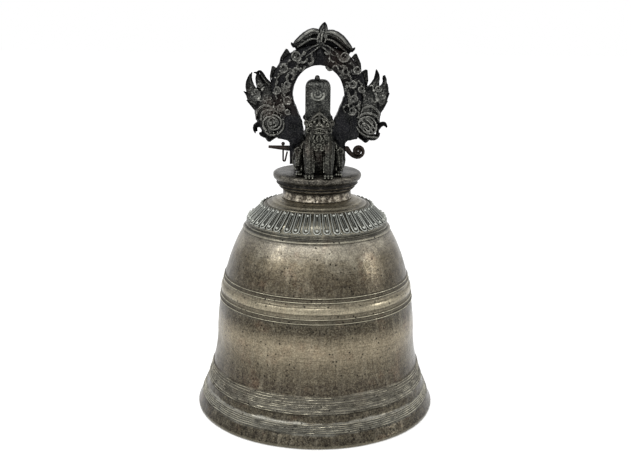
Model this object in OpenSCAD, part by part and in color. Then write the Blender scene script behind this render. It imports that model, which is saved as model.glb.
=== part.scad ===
// Cast bronze temple bell on its mouth, with a dragon hanger pinned to the lug on its crown.
// The origin is the centre of the mouth, +Z runs up the bell, and the lion in view faces -Y.
// The piece that takes the most skill is the hanger: an arch with two legs that straddle the lug,
// ending in two dragon heads with flame manes, under a crest of a bud and two leaves.

/* [Bell wall] */
// Diameter over the flared lip
mouth_d = 249.2; // [236:0.4:262]
// Height of the widest line of the lip
lip_z = 4; // [3:0.5:6]
// Diameter of the waist, where the flare ends and the dome starts
waist_d = 206; // [196:1:216]
// Height of the waist above the mouth
waist_z = 84; // [76:1:92]
// Height of the dome's own curve above the waist
dome_h = 141.7; // [136:0.1:150]
// Thickness of the wall at the waist
wall_t = 6; // [4:0.5:9]
// Thickness of the wall at the lip
lip_t = 11; // [8:0.5:13]
// Extra thickness of the casting under the neck
crown_t = 12; // [9:0.5:16]

/* [Mouldings] */
// Height of the lowest ridge above the rim face
rim_ridge_z = 15.8; // [14:0.2:18]
// Height of the lowest ridge above the plain cove
hem_ridge_z = 32.4; // [31:0.2:36]
// Height of the bright belt above the waist
belt_rise = 46.6; // [36:0.2:56]
// Half the width of the belt
belt_half = 3.9; // [3:0.1:5]
// How far a fine ridge stands out of the wall
ridge_h = 1.1; // [0.6:0.1:1.6]
// Half the width of a fine ridge
ridge_half = 0.75; // [0.5:0.05:0.8]

/* [Petal collar] */
// Number of petals around the shoulder
petal_count = 44; // [36:1:48]
// Distance of the collar's foot below the top of the dome's curve
collar_foot_drop = 28.5; // [26.7:0.2:31.7]
// Distance of the collar's head below the top of the dome's curve
collar_head_drop = 10.9; // [10.1:0.2:12.7]
// How far the collar's plain ring stands out under the petals
collar_t = 1.4; // [1:0.1:2]
// Width of a petal
petal_w = 7; // [6:0.1:7.6]
// How far a petal's outline stands out of the ring
petal_h = 1.9; // [1.2:0.1:2.4]

/* [Crown] */
// Distance of the neck's foot below the top of the dome's curve
neck_drop = 3.7; // [2.7:0.2:4.7]
// Diameter of the neck
neck_d = 70; // [64:1:74]
// Height of the neck up to the disc's underside
neck_h = 7.5; // [5:0.5:10]
// Diameter of the crown disc
disc_d = 90.6; // [88:0.2:94]
// Thickness of the crown disc with its stepped underside
disc_h = 19.5; // [17:0.5:22]

/* [Lug] */
// Width of the lug
lug_w = 25; // [22:0.5:25]
// Thickness of the lug, front to back
lug_t = 16; // [14:0.5:18]
// Height of the lug above the disc
lug_h = 91.4; // [86:0.2:92]
// Radius of the lug's top corners
lug_corner_r = 8; // [6:0.5:10]

/* [Lions] */
// Height of a lion above the disc
lion_h = 61.5; // [58:0.5:63]

/* [Hanger] */
// Height of the pin above the disc
pin_rise = 22; // [20:0.5:24]
// Height of the arch's centre above the pin
arch_rise = 55; // [54:0.5:57]
// Outer diameter of the arch
arch_outer_d = 98; // [94:1:102]
// Diameter of the arch's opening
arch_inner_d = 48.4; // [47.4:0.2:54]
// How far the opening's top is drawn up past a circle
opening_stretch = 3.6; // [0:0.2:5]
// Thickness of the arch, front to back
arch_t = 18; // [17:0.5:22]
// Side gap between each leg and the lug
leg_gap = 0.9; // [0.6:0.1:1.5]
// Width of each leg
leg_w = 14.9; // [13:0.1:16]
// Thickness of each leg, front to back
leg_t = 16; // [14:0.5:17]
// How far the legs reach below the pin
leg_drop = 16.5; // [14:0.5:17.5]
// Tilt of the hanger each way before a leg meets a lion
tilt_max = 10; // [6:1:11]

/* [Pin and keeper] */
// Diameter of the pin's shaft
pin_d = 5.6; // [4.8:0.2:7]
// Diameter of the tail's tip
tail_tip_d = 2.8; // [2.4:0.2:3.4]
// Length of the pin's tail beyond the leg
tail_l = 20.5; // [16:0.5:24]
// Radius of the coil that is the pin's head, to the middle of the bar's outer turn
scroll_r = 6.8; // [6.4:0.1:7]
// Diameter of the keeper's wire
wire_d = 1.8; // [1.4:0.1:2]
// Distance from the leg to the keeper
keeper_out = 6.3; // [5.8:0.1:9]
// How far the keeper hangs below the pin's middle
keeper_drop = 14; // [11:0.5:16]
// Gap around a shaft in its bore, on the radius
running_gap = 0.08; // [0.03:0.01:0.1]

/* [Hidden] */
bronze = [0.45, 0.41, 0.34];
dark_bronze = [0.20, 0.19, 0.17];
iron = [0.22, 0.17, 0.14];
$fn = 48;

// Shape of the flare and of the dome
flare_power = 1.87;
dome_power = 1.661;
dome_root = 0.3226;
lip_r = mouth_d / 2;
waist_r = waist_d / 2;
belt_z = waist_z + belt_rise;
dome_top_z = waist_z + dome_h;
collar_foot_z = dome_top_z - collar_foot_drop;
collar_head_z = dome_top_z - collar_head_drop;
neck_z = dome_top_z - neck_drop;
neck_r = neck_d / 2;
disc_r = disc_d / 2;
crown_z = neck_z + neck_h + disc_h;
pin_z = crown_z + pin_rise;
arch_z = pin_z + arch_rise;
arch_r = arch_outer_d / 2;
opening_r = arch_inner_d / 2;
band_r = (arch_r + opening_r) / 2;
leg_in = lug_w / 2 + leg_gap;
leg_out = leg_in + leg_w;
pin_r = pin_d / 2;
keeper_x = -(leg_out + keeper_out);
wire_r = wire_d / 2;
// The legs' swing past the lions: reach above the pin, front clearance and side clearance
swing_reach = 24;
swing_front_gap = 0.4;
swing_side_gap = 1.4;
leg_sweep = leg_t / 2 * cos(tilt_max) + swing_reach * sin(tilt_max) + swing_front_gap;

function unit(v) = v / norm(v);
function mix(a, b, t) = a + (b - a) * t;
function sign_power(v, p) = sign(v) * pow(abs(v), p);

// Catmull-Rom curve through hand-placed stations, each a list of numbers of one length
function spline(p, i, t) =
  let (a = p[max(i - 1, 0)], b = p[i], c = p[i + 1], d = p[min(i + 2, len(p) - 1)])
  0.5 * (2 * b + (c - a) * t + (2 * a - 5 * b + 4 * c - d) * t * t
         + (3 * b - a - 3 * c + d) * t * t * t);
function smooth(p, steps) = [
  for (i = [0 : len(p) - 2]) for (k = [0 : steps - 1]) spline(p, i, k / steps),
  p[len(p) - 1]
];

// A swelling, tapering form swept through stations of [x, y, z, half width, half depth].
// The half depth lies along depth_axis, and the half width square to it and to the path.
module sweep(stations, steps = 3, sides = 10, depth_axis = [0, 1, 0]) {
  rings = smooth(stations, steps);
  count = len(rings);
  function centre(i) = [rings[i][0], rings[i][1], rings[i][2]];
  points = [
    for (i = [0 : count - 1])
      let (along = unit(centre(min(i + 1, count - 1)) - centre(max(i - 1, 0))),
           wide = unit(cross(along, depth_axis)), deep = cross(wide, along))
      for (k = [0 : sides - 1])
        centre(i) + abs(rings[i][3]) * cos(360 * k / sides) * wide
                  + abs(rings[i][4]) * sin(360 * k / sides) * deep
  ];
  walls = [
    for (i = [0 : count - 2]) for (k = [0 : sides - 1])
      let (a = i * sides + k, b = i * sides + (k + 1) % sides)
      each [[a, b + sides, a + sides], [a, b, b + sides]]
  ];
  ends = [
    [for (k = [sides - 1 : -1 : 0]) k],
    [for (k = [0 : sides - 1]) (count - 1) * sides + k]
  ];
  polyhedron(points, concat(walls, ends));
}

module ball(at, r, sides = 6) {
  hull() translate(at) sphere(r, $fn = sides);
}

module both_sides() {
  children();
  mirror([1, 0, 0]) children();
}

// Bell wall

function skirt_r(z) =
  waist_r + (lip_r - waist_r) * pow(max(waist_z - z, 0) / (waist_z - lip_z), flare_power);
function dome_r(z) = waist_r * pow(1 - pow((z - waist_z) / dome_h, dome_power), dome_root);
function wall_r(z) = z < waist_z ? skirt_r(z) : dome_r(z);

function fine_ridges(from, steps) = [for (s = steps) [from + s, ridge_half, ridge_h]];

// Each ridge is [height, half its width, how far it stands out], from the mouth up
below_collar = concat(
  fine_ridges(rim_ridge_z, [0, 1.9, 3.6, 5.3, 7]),
  fine_ridges(hem_ridge_z, [0, 2.1]),
  [[hem_ridge_z + 6, 2.6, 0.5]],
  fine_ridges(hem_ridge_z, [9.9, 12.6, 14.9]),
  fine_ridges(belt_z, [-belt_half - 8.1, -belt_half - 3.7]),
  [[belt_z, belt_half, 1.5]],
  fine_ridges(belt_z, [belt_half + 4, belt_half + 8]),
  [[collar_foot_z - 5.3, 1.3, 1.4], [collar_foot_z - 1.8, 0.9, 1.1]]
);
above_collar = [[collar_head_z + 1.8, 0.8, 1], [collar_head_z + 4.3, 0.8, 0.9]];

function ridge_line(ridge) = [
  for (a = [-90 : 45 : 90])
    let (z = ridge[0] + ridge[1] * sin(a)) [wall_r(z) + ridge[2] * cos(a), z]
];
function plain_line(from, to, step) =
  let (count = ceil((to - from) / step))
  [for (i = [1 : 1 : count - 1]) let (z = mix(from, to, i / count)) [wall_r(z), z]];
function moulded_line(from, ridges, to, step) = [
  for (i = [0 : len(ridges)])
    let (low = i == 0 ? from : ridges[i - 1][0] + ridges[i - 1][1],
         high = i == len(ridges) ? to : ridges[i][0] - ridges[i][1])
    each concat(plain_line(low, high, step), i == len(ridges) ? [] : ridge_line(ridges[i]))
];

collar_foot = [dome_r(collar_foot_z), collar_foot_z];
collar_head = [dome_r(collar_head_z), collar_head_z];
collar_out = unit([collar_foot_z - collar_head_z, collar_foot[0] - collar_head[0]]) * -1;
collar_slope = atan2(collar_head_z - collar_foot_z, collar_foot[0] - collar_head[0]);
collar_l = norm(collar_head - collar_foot);

outer_line = concat(
  [[lip_r - 2.4, 0], [lip_r, lip_z]],
  moulded_line(lip_z, below_collar, collar_foot_z, 5),
  [
    collar_foot, collar_foot + collar_out * collar_t,
    collar_head + collar_out * collar_t, collar_head
  ],
  moulded_line(collar_head_z, above_collar, neck_z, 2),
  [[dome_r(neck_z), neck_z]]
);

// The hollow: the skirt less its thickness, then a dome of its own
hollow_r = waist_r - wall_t;
hollow_h = dome_h - crown_t;
function lining_t(z) = wall_t + (lip_t - wall_t) * pow(max(1 - z / waist_z, 0), 1.5);
function hollow_z(share) =
  waist_z + hollow_h * pow(1 - pow(share, 1 / dome_root), 1 / dome_power);
inner_line = concat(
  [for (share = [0 : 0.05 : 1]) [hollow_r * share, hollow_z(share)]],
  [for (i = [1 : 14]) let (z = waist_z * (1 - i / 14)) [skirt_r(z) - lining_t(z) * 1.05, z]]
);

module bell_wall() {
  color(bronze)
  rotate_extrude($fn = 128)
  polygon(concat(outer_line, [[0, neck_z]], inner_line));
}

// Petals: each a rim around a tongue with two beads, seated in the collar ring by its own foot

petal_sunk = 0.45;
petal_floor = 0.5;
petal_rim = 1.2;
tongue_inset = 2.2;
// The tongue's share of the outline's height
tongue_share = 0.62;
petal_l = collar_l - 0.8;

module petal_outline(inset) {
  half = petal_w / 2 - inset;
  translate([0, -petal_l / 2 + petal_w / 2]) circle(half);
  translate([-half, -petal_l / 2 + petal_w / 2]) square([2 * half, petal_l - petal_w / 2 - inset]);
}

module petal() {
  tongue = petal_w / 2 - tongue_inset;
  translate([0, 0, -petal_sunk]) {
    linear_extrude(petal_sunk + petal_floor) petal_outline(0);
    linear_extrude(petal_sunk + petal_h) difference() {
      petal_outline(0);
      petal_outline(petal_rim);
    }
    linear_extrude(petal_sunk + petal_h * tongue_share) petal_outline(tongue_inset);
  }
  translate([0, -petal_l / 2 + petal_w / 2, petal_h * 0.5]) sphere(tongue + 0.45);
  translate([0, petal_l / 2 - 3.2, petal_h * tongue_share]) sphere(tongue * 0.85);
}

// Stands its children on the collar ring, the given share of a petal's pitch around it
module on_collar(pitch) {
  middle = (collar_foot + collar_head) / 2 + collar_out * collar_t;
  rotate(360 * pitch / petal_count)
  translate([0, -middle[0], middle[1]])
  rotate([collar_slope, 0, 0])
  children();
}

module petals() {
  $fn = 20;
  color(bronze)
  for (i = [0 : petal_count - 1]) {
    on_collar(i) petal();
    on_collar(i + 0.5) translate([0, 1 - petal_l / 2, 0]) sphere(0.95);
  }
}

// Crown: neck and disc, turned in one with stepped ridges under the disc

// Share of the disc's thickness that its stepped underside takes
under_share = 0.62;
function under_r(z) = mix(neck_r, disc_r - 0.8, (z - neck_z - neck_h) / (disc_h * under_share));
function step_line(z, half, h) = [
  for (a = [-90 : 45 : 90]) [under_r(z + half * sin(a)) + h * cos(a), z + half * sin(a)]
];

module crown_disc() {
  underside_z = neck_z + neck_h;
  edge_z = underside_z + disc_h * under_share;
  color(bronze)
  rotate_extrude($fn = 128)
  polygon(concat(
    [[0, neck_z], [neck_r + 1.6, neck_z], [neck_r + 0.4, neck_z + 2.2], [neck_r, neck_z + 4]],
    step_line(underside_z + 3.2, 1.3, 1.2),
    step_line(underside_z + 6.8, 1.2, 1.1),
    [
      [disc_r - 3.2, edge_z - 1.6], [disc_r - 1, edge_z], [disc_r - 0.1, edge_z + 2],
      [disc_r, edge_z + 3], [disc_r - 0.4, crown_z - 2.4], [disc_r - 1.6, crown_z - 1],
      [disc_r - 4.3, crown_z], [0, crown_z]
    ]
  ));
}

// Suspension lug

module lug_outline(width) {
  corner = min(lug_corner_r, width / 2 - 0.5);
  translate([-width / 2, 0]) square([width, lug_h - corner]);
  translate([corner - width / 2, 0]) square([width - 2 * corner, lug_h]);
  for (side = [-1, 1]) translate([side * (width / 2 - corner), lug_h - corner]) circle(corner);
}

module suspension_lug() {
  smile_z = lug_h - 14;
  color(dark_bronze)
  translate([0, 0, crown_z])
  difference() {
    union() {
      intersection() {
        rotate([90, 0, 0]) linear_extrude(lug_t, center = true) lug_outline(lug_w);
        rotate([90, 0, 90]) linear_extrude(lug_w + 1, center = true) lug_outline(lug_t);
      }
      // The stub of the casting sprue, worn to a knob
      translate([-0.8, 0, lug_h + 1.3]) sphere(2.6);
      // Raised crescents on the lug's face, with a bead at each end
      for (r = [3.4, 6])
        translate([0, -lug_t / 2, smile_z])
        rotate([90, 180, 0]) rotate_extrude(angle = 180) translate([r, 0]) circle(0.7);
      for (side = [-1, 1]) translate([side * 6, -lug_t / 2, smile_z]) sphere(1.2);
    }
    translate([0, 0, pin_rise]) rotate([0, 90, 0])
      cylinder(h = lug_w + 2, r = pin_r + running_gap, center = true);
  }
}

// Guardian lion, seated against the lug with straight forelegs.
// Its own frame has the lug's face at y = 0 and the disc at z = 0, and it is drawn 66 mm tall.
lion_scale = lion_h / 66;
// The lion in view was set this far to the right of the lug's middle
lion_shift = 1.6;

module lion_form() {
  // Trunk, chest, neck and crown of the head
  sweep([
    [0, -9, -1, 15, 8], [0, -10, 12, 14, 9], [0, -11.6, 25, 13.2, 10], [0, -13, 35, 13.8, 11.4],
    [0, -13, 43, 12.4, 12], [0, -12, 50, 10.6, 10.8], [0, -11, 57, 9, 9], [0, -10, 62.4, 5, 5],
    [0, -9, 66, 0.5, 0.6]
  ], 2, 10);
  // Muzzle and open jaw
  sweep([
    [0, -17, 53.6, 5.6, 8], [0, -24, 52.8, 4.2, 6.6], [0, -28, 52.2, 3.2, 5.2], [0, -30, 51.8, 1.6, 3]
  ], 1, 8, [1, 0, 0]);
  sweep([[0, -15, 44, 3.4, 6.8], [0, -24, 43.6, 2.4, 5.2], [0, -27.4, 44.4, 1, 2.4]],
        2, 6, [1, 0, 0]);
  hull() both_sides() translate([1.9, -29.4, 54]) sphere(1.5, $fn = 8);
  // Mane: locks down the chest and a pointed roll over the brow
  for (lock = [[-9, 2.4], [-4.6, 0.8], [0, 0], [4.6, 0.8], [9, 2.4]])
    sweep([
      [lock[0] * 0.8, lock[1] - 19, 46, 2.2, 2.2], [lock[0], lock[1] - 24.2, 39, 2.8, 2.6],
      [lock[0] * 1.06, lock[1] - 26, 32, 2.2, 2.2], [lock[0] * 0.96, lock[1] - 24.6, 26.4, 0.5, 0.6]
    ], 1, 6);
  sweep([
    [-11.6, -11, 51, 1.8, 2.4], [-8.2, -17, 58, 2, 2.6], [0, -15, 64.2, 2, 3],
    [8.2, -17, 58, 2, 2.6], [11.6, -11, 51, 1.8, 2.4]
  ], 2, 6);
  both_sides() {
    ball([4.4, -23.4, 57.2], 2.3, 8);
    // Ear
    hull() {
      translate([11.8, -11, 50]) sphere(2.6, $fn = 8);
      translate([13.8, -11, 56]) sphere(1.4, $fn = 8);
      translate([13.2, -10, 60]) sphere(0.6, $fn = 8);
    }
    // Foreleg and paw
    sweep([
      [8, -13, 44, 3, 3.6], [10, -17, 38, 5.4, 6.2], [10.2, -23, 28, 5.8, 6.6],
      [10, -28, 17, 5.2, 5.6], [9.9, -31, 7.6, 4.8, 5], [9.9, -32.6, -1, 5, 5.4]
    ], 2, 8);
    hull() {
      translate([9.9, -33, 2]) sphere(4.4, $fn = 8);
      translate([7.4, -36.6, 1.6]) sphere(2.4, $fn = 8);
      translate([12.4, -36.6, 1.6]) sphere(2.4, $fn = 8);
    }
    for (toe = [6.7, 9.9, 13.1]) ball([toe, -38, 2], 2);
    // Thigh, shank and hind paw
    hull() {
      translate([15, -10, 30]) sphere(6.4, $fn = 8);
      translate([20.4, -12, 20]) sphere(8.4, $fn = 8);
      translate([18.6, -12, 4]) sphere(7.4, $fn = 8);
    }
    hull() {
      translate([20.6, -16, 22]) sphere(6, $fn = 8);
      translate([21.6, -21, 12]) sphere(4.4, $fn = 8);
    }
    hull() {
      translate([20.4, -17, 2.4]) sphere(4.4, $fn = 8);
      translate([20.8, -25, 2]) sphere(3.4, $fn = 8);
    }
  }
}

module lion(shift = 0) {
  // Larger than a lion each way
  room = 80;
  swing_x = leg_in - swing_side_gap;
  swing_h = pin_rise + swing_reach;
  difference() {
    translate([shift, 0, 0]) scale(lion_scale) lion_form();
    // Flat seats on the disc and on the lug, and room for the legs' swing
    translate([-room / 2, -room, -room]) cube([room, 2 * room, room]);
    translate([-room / 2, 0, -1]) cube([room, room, room]);
    for (side = [-1, 1])
      translate([side > 0 ? swing_x : -swing_x - room, lug_t / 2 - leg_sweep, -1])
      cube([room, room, swing_h + 1]);
  }
}

module front_lion() {
  color(dark_bronze)
  translate([0, -lug_t / 2, crown_z]) lion(lion_shift);
}

module rear_lion() {
  color(dark_bronze)
  rotate(180) translate([0, -lug_t / 2, crown_z]) lion();
}

// Hanger

band_w = arch_r - opening_r;
band_section = [
  for (a = [0 : 18 : 342])
    [band_r + band_w / 2 * sign_power(cos(a), 0.6), arch_t / 2 * sign_power(sin(a), 0.6)]
];
// The round band ends this many degrees below level, where the webs take over
band_end = 26;
function rim_point(r) = [r * cos(band_end), arch_z - r * sin(band_end)];
leg_foot_z = pin_z - leg_drop;
// One leg with its web up to the arch, seen from the front
leg_outline = [
  [leg_in, leg_foot_z], [leg_out, leg_foot_z], [leg_out, pin_z + 6.6], [leg_out + 2, pin_z + 8.6],
  [leg_out + 12, pin_z + 10.4], [arch_r - 6, arch_z - 34], rim_point(arch_r - 0.5),
  rim_point(band_r) + [3, 6], rim_point(opening_r), [opening_r - 5.2, arch_z - 18.4],
  [leg_in + 1.8, arch_z - 27], [leg_in, pin_z + 19]
];

module leg_side() {
  translate([-leg_t / 2, leg_foot_z + leg_t / 2]) square([leg_t, arch_z - leg_foot_z]);
  translate([0, leg_foot_z + leg_t / 2]) circle(leg_t / 2);
}

// The opening's upper half, an upright oval a little to the right of the lug's middle
opening_shift = 0.5;
opening_extra = 0.8;
opening_mid_z = arch_z - 2.6;
opening_top_z = arch_z + opening_r + opening_stretch;
opening_head = [
  for (a = [0 : 5 : 180])
    [opening_shift + (opening_r + opening_extra) * cos(a),
     opening_mid_z + (opening_top_z - opening_mid_z) * sin(a)]
];

module hanger_arch() {
  color(dark_bronze)
  difference() {
    union() {
      translate([0, 0, arch_z]) rotate([90, 0, 0])
        rotate_extrude(angle = 180 + 2 * band_end, start = -band_end, $fn = 96) polygon(band_section);
      both_sides()
      intersection() {
        rotate([90, 0, 0]) linear_extrude(leg_t, center = true) polygon(leg_outline);
        rotate([90, 0, 90]) linear_extrude(arch_r + 1) leg_side();
      }
    }
    translate([0, 0, pin_z]) rotate([0, 90, 0])
      cylinder(h = 2 * leg_out + 2, r = pin_r + running_gap, center = true);
    rotate([90, 0, 0]) linear_extrude(arch_t + 2, center = true) polygon(opening_head);
  }
}

// The ornaments are drawn for an arch 98 mm across, and grow with it
ornament_scale = arch_outer_d / 98;

// Dragon head at the foot of the arch, in a frame at the arch's left edge, level with its centre
module dragon_head(snout, jaw) {
  // Brow, face and chin
  sweep([
    [0, 0, 8, 7, 7], [-1, 0, -6, 12.6, 9], [-0.6, 0, -18, 13.8, 10], [2, 0, -30, 12.4, 10.4],
    [2, 0, -39, 9, 8.4], [0.6, 0, -45, 5, 5.4], [0.4, 0, -48.6, 1.4, 1.6]
  ], 2, 10);
  // Curled upper lip and jaw
  sweep(snout, 2, 8);
  sweep(jaw, 2, 8);
  for (face = [-1, 1]) {
    // Rolled eye: one turn of a spiral around the ball
    sweep([
      for (i = [0 : 10])
        let (a = 240 - 38 * i, r = 8.8 - 0.5 * i)
        [2.8 + r * cos(a), face * 9, -28.6 + r * sin(a), 1.6 - 0.05 * i, 2.6 - 0.06 * i]
    ], 1, 6);
    ball([2.8, face * 10, -28.6], 2.8, 8);
    // Scroll behind the eye, and the brow's roll
    sweep([
      [-12, face * 6, -26, 0.8, 1], [-11, face * 7.6, -17, 1.8, 2.6], [-4, face * 8.8, -11, 2, 2.6],
      [4, face * 8.4, -13, 1.8, 2.4], [6, face * 9, -18, 0.8, 1]
    ], 2, 6);
    ball([-3.6, face * 9, -18], 2);
    ball([7, face * 7.4, -17], 2.2);
  }
}

left_snout = [
  [-3, 0, -29.6, 5, 7], [-9.4, 0, -31, 3.4, 5], [-13.6, 0, -32.8, 2.3, 3.4],
  [-14.4, 0, -37, 1.5, 2], [-13.4, 0, -40.4, 0.5, 0.6]
];
left_jaw = [[4, 0, -38, 4, 7.4], [-5, 0, -41.6, 3.4, 6], [-9.6, 0, -39.6, 1, 2.4]];
right_snout = [
  [-3, 0, -33, 5, 7], [-9.4, 0, -33.6, 3.8, 5], [-14.2, 0, -30.4, 2.5, 3.4],
  [-18.2, 0, -29.8, 1.9, 2.2], [-20.2, 0, -33.4, 0.5, 0.6]
];
right_jaw = [
  [3, 0, -39, 4, 7.4], [-5.6, 0, -43, 3.6, 6], [-10, 0, -42.4, 2.4, 3.4], [-12.2, 0, -38.6, 0.8, 1]
];

// Flames and hooks of the mane, each a list of stations in the dragon's frame
left_flames = [
  [
    [-2, 0, -4, 10, 7.6], [-10, 0, -5, 9.6, 6.4], [-17, 0, -4, 6.4, 4], [-21.6, 0, -1, 1.8, 2],
    [-25, 0, 1.6, 0.5, 0.6]
  ],
  [[-12, 0, -3, 6, 5], [-17.8, 0, 3, 5.2, 3.6], [-19.8, 0, 11, 3, 2.4], [-18.4, 0, 19, 0.5, 0.5]],
  [
    [-2, 0, 2, 6, 6], [-8, 0, 8, 4.6, 4], [-10.4, 0, 15, 3, 2.6], [-11, 0, 19.4, 1.6, 1.6],
    [-15, 0, 20.2, 0.4, 0.5]
  ],
  [[-20, 0, -6, 3, 3], [-17.6, 0, -10.4, 1.9, 2.2], [-13, 0, -15, 2.6, 3], [-8, 0, -20, 3, 4]]
];
right_flames = [
  [
    [-2, 0, -4, 10, 7.6], [-9.6, 0, -5, 9.8, 6.4], [-16, 0, -4, 6.6, 4], [-19.6, 0, -2, 2, 2],
    [-22, 0, 1.4, 0.6, 0.6]
  ],
  [[-12, 0, -3, 6, 5], [-17, 0, 3, 4.6, 3.4], [-17.4, 0, 10, 2.6, 2.4], [-15.4, 0, 16.8, 1, 1]],
  [[-2, 0, 0, 6, 6], [-6.6, 0, 7.6, 5, 4], [-8.8, 0, 15, 3, 2.6], [-8, 0, 23.4, 0.4, 0.4]],
  [[-18, 0, -6, 3, 3], [-16.4, 0, -11, 2.2, 2.2], [-13, 0, -16, 2.6, 3], [-8, 0, -21, 3, 4]]
];

module mane(flames) {
  for (flame = flames) sweep(flame, 2, 8);
  for (face = [-1, 1]) {
    ball([-9.6, face * 5.4, -5], 2.4);
    ball([-15.6, face * 4, -1], 1.8);
    ball([-6, face * 5, 4], 2);
    ball([-9, face * 5, -10], 1.8);
  }
}

// Carries the left side's pieces, and the right side's by mirror, at the arch's edge
module at_arch_edge(side) {
  color(dark_bronze)
  mirror([side > 0 ? 1 : 0, 0, 0])
  translate([-arch_r, 0, arch_z]) scale(ornament_scale)
  children();
}

module left_dragon() { at_arch_edge(-1) dragon_head(left_snout, left_jaw); }
module right_dragon() { at_arch_edge(1) dragon_head(right_snout, right_jaw); }
module left_mane() { at_arch_edge(-1) mane(left_flames); }
module right_mane() { at_arch_edge(1) mane(right_flames); }

// Scrolls on the arch's faces: curls at even steps, and a boss under the crest
module arch_scroll(face, turn) {
  rotate([0, turn, 0])
  translate([0, face * arch_t / 2, band_r])
  sweep([
    for (i = [0 : 6])
      let (a = -60 + 52 * i, r = 6.6 - 0.68 * i)
      [r * cos(a), 0, r * sin(a), 1.9 - 0.1 * i, 2.6 - 0.12 * i]
  ], 1, 5);
}

module arch_scrolls() {
  color(dark_bronze)
  translate([0, 0, arch_z])
  for (face = [-1, 1]) {
    for (turn = [26, 50, 74, 98])
      both_sides() arch_scroll(face, turn);
    for (turn = [38, 68])
      for (side = [-1, 1])
        rotate([0, side * turn, 0]) ball([0, face * arch_t / 2, band_r + 8], 2);
    hull() {
      translate([0, face * arch_t / 2, band_r + 6]) sphere(1.4, $fn = 8);
      translate([-5.4, face * arch_t / 2, band_r]) sphere(1.4, $fn = 8);
      translate([5.4, face * arch_t / 2, band_r]) sphere(1.4, $fn = 8);
      translate([0, face * (arch_t / 2 + 1), band_r - 6]) sphere(1.4, $fn = 8);
    }
  }
}

// Pieces cast onto the arch's rim are rooted this deep in it
seat_depth = 0.6;

// Blade fins along the arch's back, each leaning towards the crest.
// Each is [angle from the crest, run along the rim, rise above it]
fin_t = 6;
left_blades = [[44.5, 14.5, 4.6], [68.5, 14.5, 3.4]];
right_blades = [[52.5, 16, 5], [73, 16, 4.6]];

module fin(turn, run, rise) {
  rotate([0, turn, 0])
  translate([0, 0, arch_r]) scale(ornament_scale)
  rotate([90, 0, 0]) linear_extrude(fin_t, center = true)
  polygon([
    [-run / 2, -4], [run / 2, -4], [run / 2, -1.2], [run * 0.1, rise * 0.55], [-run / 2 - 0.6, rise],
    [-run / 2 - 1.4, rise * 0.6]
  ]);
}

module fins(blades) {
  color(dark_bronze)
  translate([0, 0, arch_z])
  difference() {
    for (blade = blades) fin(blade[0], blade[1], blade[2]);
    rotate([90, 0, 0]) cylinder(h = arch_t, r = arch_r - seat_depth, center = true, $fn = 96);
  }
}

module left_fins() { mirror([1, 0, 0]) fins(left_blades); }
module right_fins() { fins(right_blades); }

// Crest on the top of the arch, in a frame at its highest point

module crest_bud() {
  color(dark_bronze)
  translate([0, 0, arch_z + arch_r]) scale(ornament_scale) {
    sweep([
      [1.8, 0, -2, 5, 5.4], [2.6, 0, 5, 4.2, 4.8], [4, 0, 10.6, 5, 4.8], [5, 0, 15, 4.2, 4],
      [5.7, 0, 18.6, 2.4, 2.4], [6, 0, 20.6, 0.5, 0.6]
    ], 3, 10);
    for (face = [-1, 1]) ball([2.4, face * 3, 7], 2);
  }
}

left_leaf = [
  [1, 0, 10.4, 2.6, 4], [-5, 0, 10.8, 4.2, 5], [-12.6, 0, 7, 4.4, 5], [-20, 0, 0.6, 4, 4],
  [-24.8, 0, -2, 2.4, 2.6], [-26.8, 0, 0.8, 0.5, 0.6]
];
right_leaf = [
  [4, 0, 10, 2.6, 4], [13.4, 0, 9.2, 4.4, 5], [22, 0, 4.4, 4.4, 5], [28.8, 0, -3, 3.8, 4],
  [33.4, 0, -6.2, 2.2, 2.6], [36, 0, -3.6, 0.6, 0.8]
];
// A leaf is a rolled rim over a thinner web that stands on the arch
leaf_web_t = 5;

// The arch's rim less the seat, from one height of the rim's circle to another
function seat_arc(from_x, to_x) = [
  for (i = [0 : 6])
    let (a = mix(asin(from_x / arch_r), asin(to_x / arch_r), i / 6))
    [(arch_r - seat_depth) * sin(a), (arch_r - seat_depth) * cos(a) - arch_r]
];

module crest_leaf(drawn) {
  leaf = drawn * ornament_scale;
  line = [for (i = [1 : 4]) [leaf[i][0], leaf[i][2]]];
  root = mix([leaf[0][0], leaf[0][2]], line[0], 0.2);
  color(dark_bronze)
  translate([0, 0, arch_z + arch_r]) {
    sweep(leaf, 2, 10);
    rotate([90, 0, 0]) linear_extrude(leaf_web_t, center = true)
      polygon(concat([root], line, seat_arc(line[3][0] * 0.9, root[0])));
  }
}

module left_crest_leaf() { crest_leaf(left_leaf); }
module right_crest_leaf() { crest_leaf(right_leaf); }

// Pin: straight through legs and lug, its head rolled into a scroll, its tail tapered and cross-drilled

// The head starts to bend this far along the axis, clear of the leg
bend_x = leg_out + 1.5;
scroll_x = leg_out + 12.6;
scroll_z = -2.3;
scroll_start = 235;
scroll_sweep = 440;
// Distance from turn to turn, and half the coiled bar's thickness
scroll_pitch = 3.7;
scroll_bar_w = 1.7;
scroll_bar = [
  [bend_x, 0, 0, pin_r * 0.96, pin_r * 0.96], [bend_x + 3, 0, -4, pin_r * 0.86, pin_r * 0.96],
  [bend_x + 5.6, 0, -6.6, pin_r * 0.74, pin_r * 0.96],
  for (i = [0 : 17])
    let (turned = scroll_sweep * i / 17, a = scroll_start + turned,
         r = scroll_r - scroll_pitch * turned / 360)
    [scroll_x + r * cos(a), 0, scroll_z + r * sin(a), scroll_bar_w - 0.006 * i, 0.96 * pin_r]
];

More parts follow.
